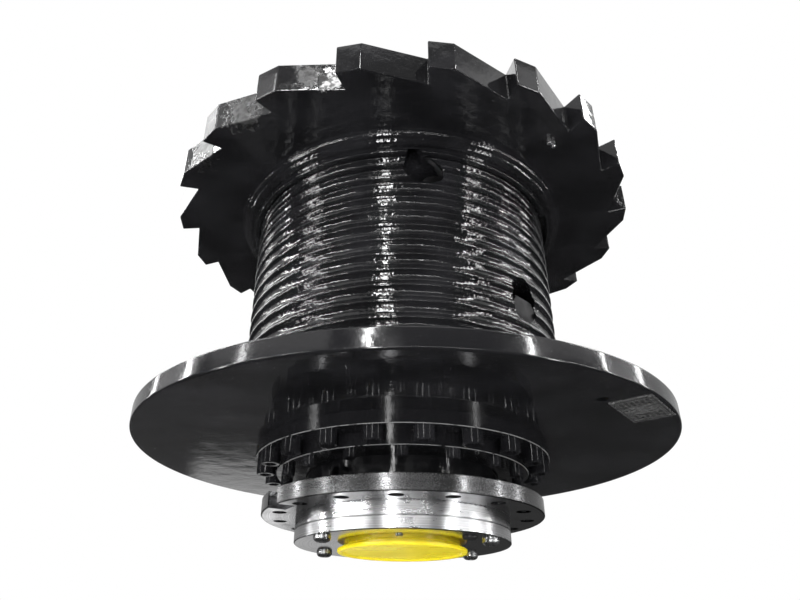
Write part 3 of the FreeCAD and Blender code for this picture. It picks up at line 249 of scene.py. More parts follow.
class Sheet:
    """A node tree that is filled by one method."""

    def __init__(self, tree):
        self.tree = tree
        self.tree.nodes.clear()

    def add(self, kind, settings=None, sockets=None, out=0):
        node = self.tree.nodes.new(kind)
        for key, value in (settings or {}).items():
            setattr(node, key, value)
        for key, value in (sockets or {}).items():
            if isinstance(value, Wire):
                self.tree.links.new(value.socket, node.inputs[key])
            else:
                node.inputs[key].default_value = value
        return Wire(self, node.outputs[out])

    def maths(self, operation, *values):
        return self.add("ShaderNodeMath", {"operation": operation}, dict(enumerate(values)))

    def mix(self, factor, first, second):
        """A colour between two colours. The Mix node's colour sockets are its seventh and eighth."""
        first, second = (c if isinstance(c, Wire) else (*c, 1) for c in (first, second))
        return self.add("ShaderNodeMix", {"data_type": "RGBA"}, {0: factor, 6: first, 7: second}, 2)

    def grain(self, vector, scale, detail=2.0, roughness=0.5):
        return self.add("ShaderNodeTexNoise", {}, {"Vector": vector, "Scale": scale, "Detail": detail,
                                                   "Roughness": roughness})

    def lines(self, value, scale, detail=2.0):
        return self.add("ShaderNodeTexNoise", {"noise_dimensions": "1D"},
                        {"W": value, "Scale": scale, "Detail": detail})

    def bump(self, height, distance, strength=1.0, under=None):
        sockets = {"Height": height, "Distance": distance, "Strength": strength}
        if under:
            sockets["Normal"] = under
        return self.add("ShaderNodeBump", {}, sockets)

    def split(self, vector):
        return [self.add("ShaderNodeSeparateXYZ", {}, {0: vector}, i) for i in range(3)]

    def place(self):
        """Object coordinates, then the height and the distance from the drum's axis."""
        whole = self.add("ShaderNodeTexCoord", {}, {}, 3)
        x, y, z = self.split(whole)
        return whole, z, (x * x + y * y) ** 0.5

    def near(self, spot, reach, vector, ragged):
        """A mask of 1 close to a spot, with a ragged edge."""
        gap = self.add("ShaderNodeVectorMath", {"operation": "DISTANCE"}, {0: vector, 1: spot}, 1)
        return (gap + ragged).step(reach * 0.8, reach, 1, 0)

    def surface(self, kind, shader):
        """Feeds a shader to a new output node of the tree."""
        output = self.tree.nodes.new(kind)
        self.tree.links.new(shader.socket, output.inputs["Surface"])


def socket_names(values):
    """Values by keyword, with the keywords turned into names of the Principled shader's sockets."""
    return {key.replace("_", " ").replace("Ior", "IOR"): value for key, value in values.items()}


class Finish(Sheet):
    """One procedural material around a Principled shader."""

    def __init__(self, name, **constants):
        self.material = bpy.data.materials.new(name + LOOK)
        self.material.use_nodes = True
        super().__init__(self.material.node_tree)
        self.constants = constants

    def done(self, **feeds):
        sockets = socket_names({**self.constants, **feeds})
        self.surface("ShaderNodeOutputMaterial", self.add("ShaderNodeBsdfPrincipled", {}, sockets))
        return self.material


def shade(base, factor):
    return tuple(min(1.0, c * factor) for c in base)


def enamel(name, base, peel, ripples=False, worn_and_glint_spots=(), rim=None, edges=()):
    """Thick gloss enamel: orange peel, slow waves in the film, dust, and wrinkled spots: a worn chip, and
    mottled painted glints.

    From the rim radius outwards it is rougher and painted paler, a painted sheen. At the heights of the edges a
    broken bright line is a painted highlight.
    """
    f = Finish(name, Specular_Ior_Level=0.5)
    vector, z, radius = f.place()
    film = f.grain(vector, 14, 3)
    dust = f.grain(vector, 620, 2).step(0.66, 0.78)
    tone = f.mix(film.step(0.35, 0.7), base, shade(base, 2.2))
    tone = f.mix(dust * 0.35, tone, (0.10, 0.10, 0.10))
    rough = f.grain(vector, 38, 4).step(0.3, 0.75, 0.035, 0.11) + dust * 0.25
    waves = f.bump(f.grain(vector, 26, 2), 0.0012, peel)
    height = f.bump(f.grain(vector, 210, 2, 0.55), 0.00018, peel, waves)
    if ripples:
        height = f.bump(f.grain(vector, 130, 2, 0.6), 0.0009, peel, height)
    if rim:
        # Past the rim radius the enamel is rougher and painted paler: a painted sheen
        outer = radius.step(rim - RIM_BLEND, rim)
        rough = rough + outer * 0.05
        tone = f.mix(outer, tone, shade(base, 1.6))
        # A broken bright line at each edge height is a painted highlight
        for level in edges:
            edge_highlight = outer * abs(z - level).step(0.0006, 0.0011, 1, 0)
            edge_highlight = edge_highlight * f.grain(vector, 90, 3).step(0.3, 0.5)
            tone = f.mix(edge_highlight, tone, (0.16, 0.16, 0.16))
    # The chip is bare metal; the other spots paint mottled glints into the colour, with real wrinkles in bump
    # and roughness
    for spot, reach, dark, pale in worn_and_glint_spots:
        ragged = (f.grain(vector, 120, 4) - 0.5) * reach * 1.6
        mask = f.near(spot, reach, vector, ragged)
        patchy = f.mix(f.grain(vector, 190, 4).step(0.4, 0.6), (dark,) * 3, (pale,) * 3)
        tone = f.mix(mask, tone, patchy)
        rough = rough + mask * 0.22
        height = f.bump(f.grain(vector, 90, 3, 0.6) * mask, 0.003, peel, height)
    return f.done(Base_Color=tone, Roughness=rough, Normal=height)


def turned_steel(name, base, rough_low, rough_high, groove=700, stain=0.5, anisotropic=0.75, faced=None,
                 dark=None):
    """Lathe-turned steel: fine rings, a brushed sheen across them, faint stains and rubbed marks.

    Below the faced height it is finely faced and nearly a mirror. Past the dark radius it is painted much
    darker, a painted shade, and is rougher.
    """
    f = Finish(name, Metallic=1.0, Anisotropic=anisotropic, Anisotropic_Rotation=0.25)
    vector, z, radius = f.place()
    along = radius + z * RING_CLIMB
    fine = f.lines(along, groove, 3)
    broad = f.lines(along, groove * 0.12, 2)
    blotch = f.grain(vector, 22, 4, 0.6)
    marks = f.grain(vector, 160, 5, 0.7).step(0.58, 0.72)
    tone = f.mix(fine.step(0.3, 0.7), shade(base, 0.78), shade(base, 1.18))
    tone = f.mix(blotch.step(0.45, 0.75) * stain, tone, shade(base, 0.45))
    rough = blotch.step(0.3, 0.7, rough_low, rough_high) + marks * 0.06 + (broad - 0.5) * 0.1
    if faced is not None:
        rough = rough * z.step(faced, faced + 0.0003, 0.35, 1)
    if dark is not None:
        # Past this radius the steel is painted much darker, a painted shade, and rougher
        outer = radius.step(dark, dark + 0.0005)
        tone = f.mix(outer * 0.85, tone, shade(base, 0.06))
        rough = rough + outer * f.grain(vector, 900, 2, 0.7).step(0.3, 0.7, 0.06, 0.2)
    rings = f.bump(fine, 0.00006, 0.5, f.bump(broad, 0.00025, 0.4))
    return f.done(Base_Color=tone, Roughness=rough, Normal=rings)


def plain_metal(name, base, rough_low, rough_high, grain=240, pits=0.0):
    """Machined or plated metal with fine grain, slight tarnish and small pits."""
    f = Finish(name, Metallic=1.0)
    vector = f.place()[0]
    cloud = f.grain(vector, 45, 4, 0.6)
    speck = f.grain(vector, grain, 3, 0.6)
    tone = f.mix(cloud.step(0.35, 0.7), shade(base, 1.1), shade(base, 0.66))
    rough = speck.step(0.3, 0.75, rough_low, rough_high)
    return f.done(Base_Color=tone, Roughness=rough, Normal=f.bump(speck + cloud * pits, 0.0001, 0.5))


def moulded(name, base, rough_low, rough_high, grain=300, speck=0.0, **constants):
    """Moulded plastic, rubber or pressed lining."""
    f = Finish(name, **constants)
    vector = f.place()[0]
    cloud = f.grain(vector, 30, 3)
    fine = f.grain(vector, grain, 3, 0.6)
    tone = f.mix(cloud.step(0.3, 0.75), base, shade(base, 0.82))
    tone = f.mix(fine.step(0.62, 0.75) * speck, tone, shade(base, 2.4))
    rough = cloud.step(0.3, 0.7, rough_low, rough_high) + fine * 0.08
    return f.done(Base_Color=tone, Roughness=rough, Normal=f.bump(fine, 0.00012, 0.35))


def cap_plastic(name, base):
    """Yellow moulded cap: faint flow marks, fine scuffs and a shallow ripple."""
    f = Finish(name, Subsurface_Weight=0.08, Subsurface_Scale=0.004, Specular_Ior_Level=0.5)
    vector = f.place()[0]
    flow = f.add("ShaderNodeMapping", {}, {"Vector": vector, "Rotation": (0, 0, 0.9),
                                           "Scale": (1.0, 4.0, 1.0)})
    streak = f.grain(flow, 9, 3, 0.5)
    fine = f.grain(vector, 260, 3, 0.6)
    scuff = f.grain(vector, 95, 6, 0.75).step(0.6, 0.72)
    tone = f.mix(streak.step(0.35, 0.7), base, shade(base, 0.86))
    tone = f.mix(scuff * 0.12, tone, (0.95, 0.88, 0.30))
    rough = streak.step(0.3, 0.7, 0.24, 0.36) + scuff * 0.15
    height = f.bump(fine, 0.00005, 0.3, f.bump(streak, 0.0004, 0.2))
    return f.done(Base_Color=tone, Roughness=rough, Normal=height)


def plate_print(name, base, centre, azimuth):
    """Plate printed dark, with a bare frame, rows of empty fields and a paler field in the middle."""
    f = Finish(name, Specular_Ior_Level=0.5)
    vector = f.place()[0]
    local = f.add("ShaderNodeMapping", {"vector_type": "TEXTURE"}, {"Vector": vector, "Location": centre,
                                                                  "Rotation": (0, 0, azimuth)})
    x, y = f.split(local)[:2]
    border = f.maths("MAXIMUM", abs(x) / PLATE_HALF[0], abs(y) / PLATE_HALF[1])
    inner = border.step(0.8, 0.82, 1, 0)
    frame_line = 1 - border.step(0.84, 0.86) * border.step(0.93, 0.95, 1, 0)
    fields = f.add("ShaderNodeTexBrick", {"offset": 0.5},
                   {"Vector": local, "Color1": (1, 1, 1, 1), "Color2": (1, 1, 1, 1), "Mortar": (0, 0, 0, 1),
                    "Scale": 1.0, "Mortar Size": PLATE_LINE, "Brick Width": PLATE_FIELD[0],
                    "Row Height": PLATE_FIELD[1]}, 1)
    middle = (abs(x) / PLATE_MIDDLE[0]).step(0.6, 1.2, 0.5, 0)
    middle = middle * (abs(y) / PLATE_MIDDLE[1]).step(0.6, 1.2, 1, 0)
    bare = f.maths("MAXIMUM", frame_line * (1 - inner), inner * f.maths("MAXIMUM", fields, middle))
    wear = f.grain(vector, 130, 4).step(0.35, 0.7)
    metal = f.mix(wear, shade(base, 0.5), shade(base, 0.28))
    tone = f.mix(bare * 0.85 + wear * 0.1, (0.016, 0.016, 0.016), metal)
    rough = wear.step(0, 1, 0.2, 0.36)
    return f.done(Base_Color=tone, Roughness=rough, Metallic=bare * 0.7, Normal=f.bump(bare, 0.00008, 0.6))


def spindle_finish(name, base, black):
    """Bare turned spigot below the mounting flange, black enamel on the neck above it."""
    f = Finish(name, Anisotropic=0.75, Anisotropic_Rotation=0.25)
    vector, z, radius = f.place()
    paint = z.step(*NECK_PAINT)
    along = radius + z * RING_CLIMB
    fine = f.lines(along, 700, 3)
    broad = f.lines(along, 90, 2)
    blotch = f.grain(vector, 22, 4, 0.6)
    steel = f.mix(fine.step(0.3, 0.7), shade(base, 0.78), shade(base, 1.18))
    tone = f.mix(paint, steel, black)
    film = f.grain(vector, 38, 4).step(0.3, 0.75, 0.07, 0.2)
    bare = blotch.step(0.2, 0.8, 0.25, 0.31) + (broad - 0.5) * 0.1
    peel = f.grain(vector, 210, 2, 0.55)
    height = f.bump(peel * paint, 0.00022, 0.5, f.bump(fine * (1 - paint), 0.00006, 0.5))
    rough = bare * (1 - paint) + film * paint
    return f.done(Base_Color=tone, Roughness=rough, Metallic=1 - paint, Normal=height)


def chip_and_glint_spots(s):
    """Place, reach, dark and pale tone of the chip, and of the painted glint on each of several teeth of the
    ratchet.
    """
    chip = point(s.tooth_root + s.chip_reach / 3, s.chip_azimuth, RATCHET_LOW.z + s.chip_rise)
    spots = [(chip, s.chip_reach, *CHIP_TONES)]
    middle = (RATCHET_LOW.z + RATCHET_HIGH.z) / 2
    for tooth, reach, pale in GLINT_TEETH:
        flank = s.tooth_azimuth + s.tooth_crest * GLINT_FLANK - TURN * tooth / s.tooth_count
        spots.append((point((s.tooth_root + s.tooth_tip) / 2, flank, middle), reach, pale / GLINT_CONTRAST,
                      pale))
    return spots


def make_finishes(scene):
    """Every finish of the reducer, named after the record's slot or with a name of its own."""
    c = scene.drum_colours
    s = scene.drum_sizes
    black = tuple(c.enamel)
    steel = tuple(c.bare_steel)
    iron = tuple(c.iron)
    rubber = tuple(c.rubber)
    plate_low, plate_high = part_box("nameplate")
    centre = (plate_low + plate_high) / 2
    enamel("gloss_black", black, 0.45)
    enamel("disc_black", black, 0.35, rim=s.disc_radius - DISC_SHEEN_BAND)
    enamel("barrel_black", black, 0.6, ripples=True)
    # The housing's and the carrier's rims get a painted sheen, and a painted highlight at their lower edge
    for name, node in (("housing_black", "gear_housing"), ("carrier_black", "seal_carrier")):
        low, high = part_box(node)
        enamel(name, black, 0.45, rim=high.x - RIM_BLEND, edges=(low.z,))
    enamel("ratchet_black", black, 0.45, worn_and_glint_spots=chip_and_glint_spots(s))
    moulded("wedge_black", black, 0.3, 0.6, 160, Specular_Ior_Level=0.08)
    enamel("black_screws", shade(black, 1.3), 0.7)
    turned_steel("machined_steel", steel, 0.26, 0.4)
    # The flange's rim is painted darker: painted shade
    turned_steel("flange_steel", steel, 0.08, 0.16, anisotropic=0.5,
                 dark=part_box("mounting_flange")[1].x - FLANGE_SHADE_BAND)
    turned_steel("cover_steel", steel, 0.26, 0.32, stain=0.3, faced=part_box("motor_cover")[0].z + FACED_BAND)
    spindle_finish("spindle_steel", steel, black)
    plain_metal("bright_screws", tuple(c.zinc), 0.22, 0.4)
    cap_plastic("yellow_plastic", tuple(c.cap))
    plain_metal("gear_steel", tuple(c.gear_steel), 0.2, 0.36, 420)
    turned_steel("bearing_steel", shade(steel, 1.1), 0.1, 0.2, 1500, 0.2, 0.5)
    plain_metal("cast_carrier", iron, 0.4, 0.6, 160, 0.6)
    turned_steel("bronze", tuple(c.bronze), 0.2, 0.34, 900, 0.3, 0.5)
    moulded("plug_black", rubber, 0.3, 0.45, 420)
    moulded("seal_rubber", rubber, 0.45, 0.6, 380)
    moulded("friction_disc", tuple(c.lining), 0.7, 0.85, 520, 0.4)
    plain_metal("spring_steel", iron, 0.35, 0.5, 300)
    plate_print("plate_metal", tuple(c.plate), centre, math.atan2(centre.x, -centre.y))


def finish(name):
    """The finish of that name, made with all the others the first time."""
    if name + LOOK not in bpy.data.materials:
        make_finishes(bpy.context.scene)
    return bpy.data.materials[name + LOOK]


# Shapes


def turned(outline, sweep=TURN, steps=SPIN_STEPS):
    """A bmesh turned about Z from a closed outline of (radius, height) corners."""
    bm = bmesh.new()
    corners = [bm.verts.new((r, 0, z)) for r, z in outline]
    edges = [bm.edges.new(pair) for pair in zip(corners, corners[1:] + corners[:1])]
    return swept(bm, corners + edges, sweep, steps)


def swept(bm, geom, sweep=TURN, steps=SPIN_STEPS):
    bmesh.ops.spin(bm, geom=geom, cent=(0, 0, 0), axis=(0, 0, 1), dvec=(0, 0, 0), angle=sweep,
                   steps=steps, use_merge=sweep == TURN, use_normal_flip=False, use_duplicate=False)
    if sweep != TURN:
        ends = [e for e in bm.edges if len(e.link_faces) < 2]
        bmesh.ops.holes_fill(bm, edges=ends, sides=0)
    return closed(bm)


def closed(bm):
    bmesh.ops.remove_doubles(bm, verts=bm.verts, dist=MERGE_GAP)
    bmesh.ops.recalc_face_normals(bm, faces=bm.faces)
    return bm


def prism(corners, push):
    """A flat outline pushed along a vector."""
    bm = bmesh.new()
    face = bm.faces.new([bm.verts.new(c) for c in corners])
    pushed = bmesh.ops.extrude_face_region(bm, geom=[face])
    ends = [g for g in pushed["geom"] if isinstance(g, bmesh.types.BMVert)]
    bmesh.ops.translate(bm, verts=ends, vec=push)
    return closed(bm)


def sharp(edge):
    return len(edge.link_faces) == 2 and edge.calc_face_angle(0) > SHARP_ANGLE


def rounded(bm, edges, width, segments):
    bmesh.ops.bevel(bm, geom=edges, offset=width, offset_type="OFFSET", segments=segments, profile=0.5,
                    affect="EDGES", clamp_overlap=True, material=-1)
    return bm


def eased(bm, width, segments=3):
    """Rounds every edge that is sharper than the limit."""
    return rounded(bm, [e for e in bm.edges if sharp(e)], width, segments)


def rod(radius, start, end, segments=64):
    """A round bar between two points."""
    bm = bmesh.new()
    axis = end - start
    turn = axis.to_track_quat("Z", "Y").to_matrix().to_4x4()
    spot = Matrix.Translation((start + end) / 2) @ turn
    bmesh.ops.create_cone(bm, cap_ends=True, cap_tris=False, segments=segments, radius1=radius,
                          radius2=radius, depth=axis.length, matrix=spot)
    return bm


def put(name, bm):
    """A new object from a bmesh, in the scene."""
    mesh = bpy.data.meshes.new(name)
    bm.to_mesh(mesh)
    bm.free()
    piece = bpy.data.objects.new(name, mesh)
    bpy.context.scene.collection.objects.link(piece)
    return piece


def carve(piece, tools):
    """Takes the tools, a list of bmeshes, out of a piece for good."""
    for bm in tools:
        tool = put("carving_tool", bm)
        modifier = piece.modifiers.new("carve", "BOOLEAN")
        modifier.object = tool
        modifier.solver = "EXACT"
        bpy.context.view_layer.update()
        graph = bpy.context.evaluated_depsgraph_get()
        made = bpy.data.meshes.new_from_object(piece.evaluated_get(graph))
        piece.modifiers.clear()
        piece.data = made
        bpy.data.objects.remove(tool)
    return piece


def drill(piece, radius, spot, low, high, segments=64):
    """Takes out a hole along Z, with a tool that reaches past both heights."""
    tool = rod(radius, spot + UP * (low - DRILL_PAST), spot + UP * (high + DRILL_PAST), segments)
    return carve(piece, [tool])


def dress(piece, material, body, slot, *nodes):
    """Shades a piece smooth between its sharp edges, gives it its finish and puts it on its body."""
    mesh = piece.data
    mesh.materials.clear()
    mesh.materials.append(finish(material))
    mesh.shade_smooth()
    mesh.set_sharp_from_angle(angle=SHARP_ANGLE)
    weigh = piece.modifiers.new("weighted normals", "WEIGHTED_NORMAL")
    weigh.keep_sharp = True
    weigh.weight = 100
    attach(piece, body)
    if nodes:
        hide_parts(*nodes)
    return piece


def lumps(bm, relief, scale, shift, inside):
    """Moves points past a radius along their normals by soft noise, as a thick coat of lacquer lies."""
    bm.normal_update()
    for v in bm.verts:
        if math.hypot(v.co.x, v.co.y) > inside:
            v.co += v.normal * noise.noise(v.co * scale + shift) * relief


def pocket_tools(sizes, azimuth, height, radius, rise):
    """Slanted tools that open the barrel's wall for the rope: a rod, or a slot with round ends."""
    reach = sizes.barrel_radius - sizes.barrel_bore
    rim = point(sizes.barrel_radius, azimuth, height)
    inwards = Matrix.Rotation(sizes.pocket_slant, 3, "Z") @ -point(1, azimuth, 0)
    start = rim - inwards * reach
    end = rim + inwards * 2 * reach
    half = UP * (rise / 2)
    lifts = (-half, half) if rise else (half,)
    tools = [rod(radius, start + lift, end + lift) for lift in lifts]
    if rise:
        side = inwards.cross(UP) * radius
        corners = [start + side - half, start - side - half, start - side + half, start + side + half]
        tools.append(prism(corners, inwards * 3 * reach))
    return tools


def lead_in_tool(sizes):
    """Pointed prism above the rope entry."""
    r = sizes.entry_radius
    flat = [Vector((-r, 0, 0)), Vector((r, 0, 0)), Vector((-sizes.lead_in_skew, 0, sizes.lead_in_height))]
    deep = (sizes.barrel_radius - sizes.barrel_bore) / 2
    move = Matrix.Translation((0, -sizes.barrel_radius + deep, sizes.entry_height + LEAD_IN_LIFT))
    turn = Matrix.Rotation(sizes.lead_in_azimuth, 4, "Z") @ move
    return prism([turn @ c for c in flat], point(2 * deep, sizes.lead_in_azimuth, 0))


class PieceOperator:
    """What every operator here shares."""

    bl_options = {"REGISTER", "UNDO"}

    def execute(self, context):
        self.build(context.scene.drum_sizes)
        return {"FINISHED"}


class REDUCER_OT_disc(PieceOperator, Operator):
    """Large flange disc with rounded rims and one small hole"""

    bl_idname = "reducer.disc"
    bl_label = "Flange disc"

    def build(self, sizes):
        low, high = DISC_LOW.z, DISC_HIGH.z
        outline = [(sizes.disc_bore, low), (sizes.disc_radius, low), (sizes.disc_radius, high),
                   (sizes.disc_bore, high)]
        piece = put("flange_disc", eased(turned(outline), sizes.disc_edge, 4))
        spot = point(sizes.disc_hole_radius, sizes.disc_hole_azimuth, 0)
        drill(piece, sizes.disc_hole, spot, low, high)
        dress(piece, "disc_black", "drum", "gloss_black", "drum_flange")


class REDUCER_OT_barrel(PieceOperator, Operator):
    """Grooved barrel with lacquered ridges and its two rope pockets"""

    bl_idname = "reducer.barrel"
    bl_label = "Rope barrel"

    ARC_STEPS = 8
    LACQUER_SCALE = 70
    LACQUER_SHIFT = Vector((3, 0, 0))

    def build(self, sizes):
        bm = bmesh.new()
        first = bm.verts.new((sizes.barrel_bore, 0, BARREL_LOW.z))
        chain = [first, bm.verts.new((sizes.barrel_radius, 0, BARREL_LOW.z))]
        centre_r = sizes.barrel_radius - sizes.groove_depth + sizes.groove_radius
        half = math.acos((centre_r - sizes.barrel_radius) / sizes.groove_radius)
        top = BARREL_HIGH.z - sizes.groove_margin
        for i in range(sizes.groove_count):
            middle = top - sizes.groove_pitch * (sizes.groove_count - i - 0.5)
            start = bm.verts.new((sizes.barrel_radius, 0, middle - sizes.groove_radius * math.sin(half)))
            bm.edges.new((chain[-1], start))
            arc = bmesh.ops.spin(bm, geom=[start], cent=(centre_r, 0, middle), axis=(0, 1, 0),
                                 dvec=(0, 0, 0), angle=2 * half, steps=self.ARC_STEPS, use_merge=False,
                                 use_normal_flip=False, use_duplicate=False)
            chain.append(arc["geom_last"][0])
        for r in (sizes.barrel_radius, sizes.barrel_bore):
            corner = bm.verts.new((r, 0, BARREL_HIGH.z))
            bm.edges.new((chain[-1], corner))
            chain.append(corner)
        bm.edges.new((chain[-1], first))
        bm.edges.new((first, chain[1]))
        swept(bm, bm.verts[:] + bm.edges[:])
        low, high = BARREL_LOW.z + MERGE_GAP, BARREL_HIGH.z - MERGE_GAP
        ridges = [e for e in bm.edges if sharp(e) and low < e.verts[0].co.z < high]
        rounded(bm, ridges, sizes.ridge_round, 2)
        inside = sizes.barrel_radius - 1.5 * sizes.groove_depth
        lumps(bm, sizes.lacquer_relief, self.LACQUER_SCALE, self.LACQUER_SHIFT, inside)
        piece = put("barrel", bm)
        tools = pocket_tools(sizes, sizes.entry_azimuth, sizes.entry_height, sizes.entry_radius, 0)
        tools.append(lead_in_tool(sizes))
        tools += pocket_tools(sizes, sizes.anchor_azimuth, sizes.anchor_height, sizes.anchor_radius,
                              sizes.anchor_rise)
        carve(piece, tools)
        dress(piece, "barrel_black", "drum", "gloss_black", "rope_barrel")


class REDUCER_OT_riser(PieceOperator, Operator):
    """Riser ring beside the ratchet wheel"""

    bl_idname = "reducer.riser"
    bl_label = "Riser ring"

    STEPS = 160
    EDGE = 0.0022

    def build(self, sizes):
        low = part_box("riser_ring")[0].z
        outer = sizes.barrel_radius + sizes.riser_height
        outline = [(sizes.barrel_radius, low), (outer, low), (outer, BARREL_HIGH.z),
                   (sizes.barrel_radius, BARREL_HIGH.z)]
        bm = turned(outline, sizes.riser_span, self.STEPS)
        start = sizes.riser_end - sizes.riser_span - math.pi / 2
        bmesh.ops.rotate(bm, verts=bm.verts, cent=(0, 0, 0), matrix=Matrix.Rotation(start, 3, "Z"))
        piece = put("riser_band", eased(bm, self.EDGE))
        carve(piece, [lead_in_tool(sizes)])
        dress(piece, "barrel_black", "drum", "gloss_black", "riser_ring")


class REDUCER_OT_welds(PieceOperator, Operator):
    """Rippled weld beads at both ends of the barrel"""

    bl_idname = "reducer.welds"
    bl_label = "Weld beads"

    PASS_POINTS = 7
    STEPS = 720
    FOOT_STEPS = 480
    # Bulge of the foot weld as a share of its leg
    FOOT_CROWN = 0.55
    # Length of a ripple, and the bands beside the joints that stay smooth
    RIPPLE = 0.0042
    SMOOTH_INSIDE = 0.001
    SMOOTH_END = 0.0005

    def build(self, sizes):
        inner = sizes.barrel_radius + sizes.riser_height
        top = BARREL_HIGH.z
        toe = Vector((inner, 0, top - sizes.weld_height))
        chord = Vector((sizes.weld_leg, 0, sizes.weld_height))
        bulge = Vector((chord.z, 0, -chord.x)).normalized()
        outline = [(inner, toe.z)]
        steps = self.PASS_POINTS * sizes.weld_passes
        for i in range(1, steps):
            share = i / steps
            crown = sizes.weld_crown * 4 * share * (1 - share)
            crown += sizes.weld_pass_crown * (abs(math.sin(math.pi * sizes.weld_passes * share)) - 1)
            spot = toe + chord * share + bulge * crown
            outline.append((spot.x, spot.z))
        outline += [(inner + sizes.weld_leg, top), (inner, top)]
        bm = turned(outline, steps=self.STEPS)
        self.ripple(bm, sizes, inner + self.SMOOTH_INSIDE, top - self.SMOOTH_END)
        dress(put("ratchet_weld", bm), "barrel_black", "drum", "gloss_black", "drum_welds")
        foot = sizes.foot_weld
        low = BARREL_LOW.z
        corner = (sizes.barrel_radius, low)
        mid = (sizes.barrel_radius + foot * self.FOOT_CROWN, low + foot * self.FOOT_CROWN)
        outline = [corner, (corner[0] + foot, low), mid, (corner[0], low + foot)]
        bm = turned(outline, steps=self.FOOT_STEPS)
        self.ripple(bm, sizes, corner[0] + self.SMOOTH_INSIDE, math.inf)
        dress(put("foot_weld", bm), "barrel_black", "drum", "gloss_black", "drum_welds")

    def ripple(self, bm, sizes, inside, ceiling):
        """Overlapping scales of a hand-laid bead."""
        bm.normal_update()
        for v in bm.verts:
            radius = math.hypot(v.co.x, v.co.y)
            if radius > inside and BARREL_LOW.z + self.SMOOTH_END < v.co.z < ceiling:
                round_way = math.atan2(v.co.y, v.co.x) * radius
                wander = noise.noise(v.co * 30) * 1.5
                scale = math.sin(round_way / self.RIPPLE * math.pi + wander)
                dip = 0.5 + 0.5 * scale * scale - 0.3 * noise.noise(v.co * 55)
                v.co -= v.normal * sizes.weld_ripple * dip


class REDUCER_OT_ratchet(PieceOperator, Operator):
    """Thick ratchet wheel with rounded, painted edges"""

    bl_idname = "reducer.ratchet"
    bl_label = "Ratchet wheel"

    # Edges sharper than this are rounded
    EDGE_ANGLE = math.radians(12)

    def build(self, sizes):
        low, high = RATCHET_LOW.z, RATCHET_HIGH.z
        corners = []
        for i in range(sizes.tooth_count):
            tip = sizes.tooth_azimuth + TURN * i / sizes.tooth_count
            corners.append(point(sizes.tooth_root, tip + sizes.tooth_undercut, low))
            corners.append(point(sizes.tooth_tip, tip, low))
            corners.append(point(sizes.tooth_tip, tip + sizes.tooth_crest, low))
        bm = prism(corners, UP * (high - low))
        rims = [e for e in bm.edges if e.calc_face_angle(0) > self.EDGE_ANGLE]
        piece = put("ratchet", rounded(bm, rims, sizes.tooth_edge, 3))
        drill(piece, sizes.ratchet_bore, Vector(), low, high, SPIN_STEPS)
        dress(piece, "ratchet_black", "drum", "gloss_black", "ratchet_wheel")


class REDUCER_OT_plugs(PieceOperator, Operator):
    """Black protective plug in the tapped motor hole and the domed cap of the leak plug"""

    bl_idname = "reducer.plugs"
    bl_label = "Plugs"

    STEPS = 40
    ARC = [math.radians(90) * i / 6 for i in range(7)]

    def build(self, sizes):
        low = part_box("motor_cover")[0].z
        plugs = (("thread_plug", "plug_black", "gloss_black", sizes.thread_plug,
                  sizes.motor_hole_radius, sizes.motor_hole_azimuth),
                 ("leak_plug_dome", "bright_screws", "bright_screws", sizes.leak_plug,
                  sizes.leak_plug_radius, sizes.leak_plug_azimuth))
        for name, look, slot, size, radius, azimuth in plugs:
            rise = size * sizes.plug_rise
            flat = size - rise
            arc = [(flat + rise * math.sin(a), low - rise * math.cos(a)) for a in self.ARC]
            bm = turned([(0, low + rise), (0, low - rise), *arc, (size, low + rise)], steps=self.STEPS)
            bmesh.ops.translate(bm, verts=bm.verts, vec=point(radius, azimuth, 0))
            dress(put(name, bm), look, "mounting_end", slot)


class REDUCER_OT_cad_finishes(PieceOperator, Operator):
    """Gives every solid that stays as it is its finish"""

    bl_idname = "reducer.cad_finishes"
    bl_label = "Other finishes"

    # The solids whose finish isn't the one of their slot
    SPECIAL = {"mounting_flange": "flange_steel", "motor_cover": "cover_steel", "seal_carrier": "carrier_black",
               "gear_housing": "housing_black", "rope_wedge": "wedge_black", "port_plugs": "spindle_steel"}

    def build(self, _sizes):
        slots = {s["node"]: s["material_slot"] for s in frame["record"]["subparts"]}
        for name, node in frame["nodes"].items():
            node.data.materials.clear()
            node.data.materials.append(finish(self.SPECIAL.get(name, slots[name])))


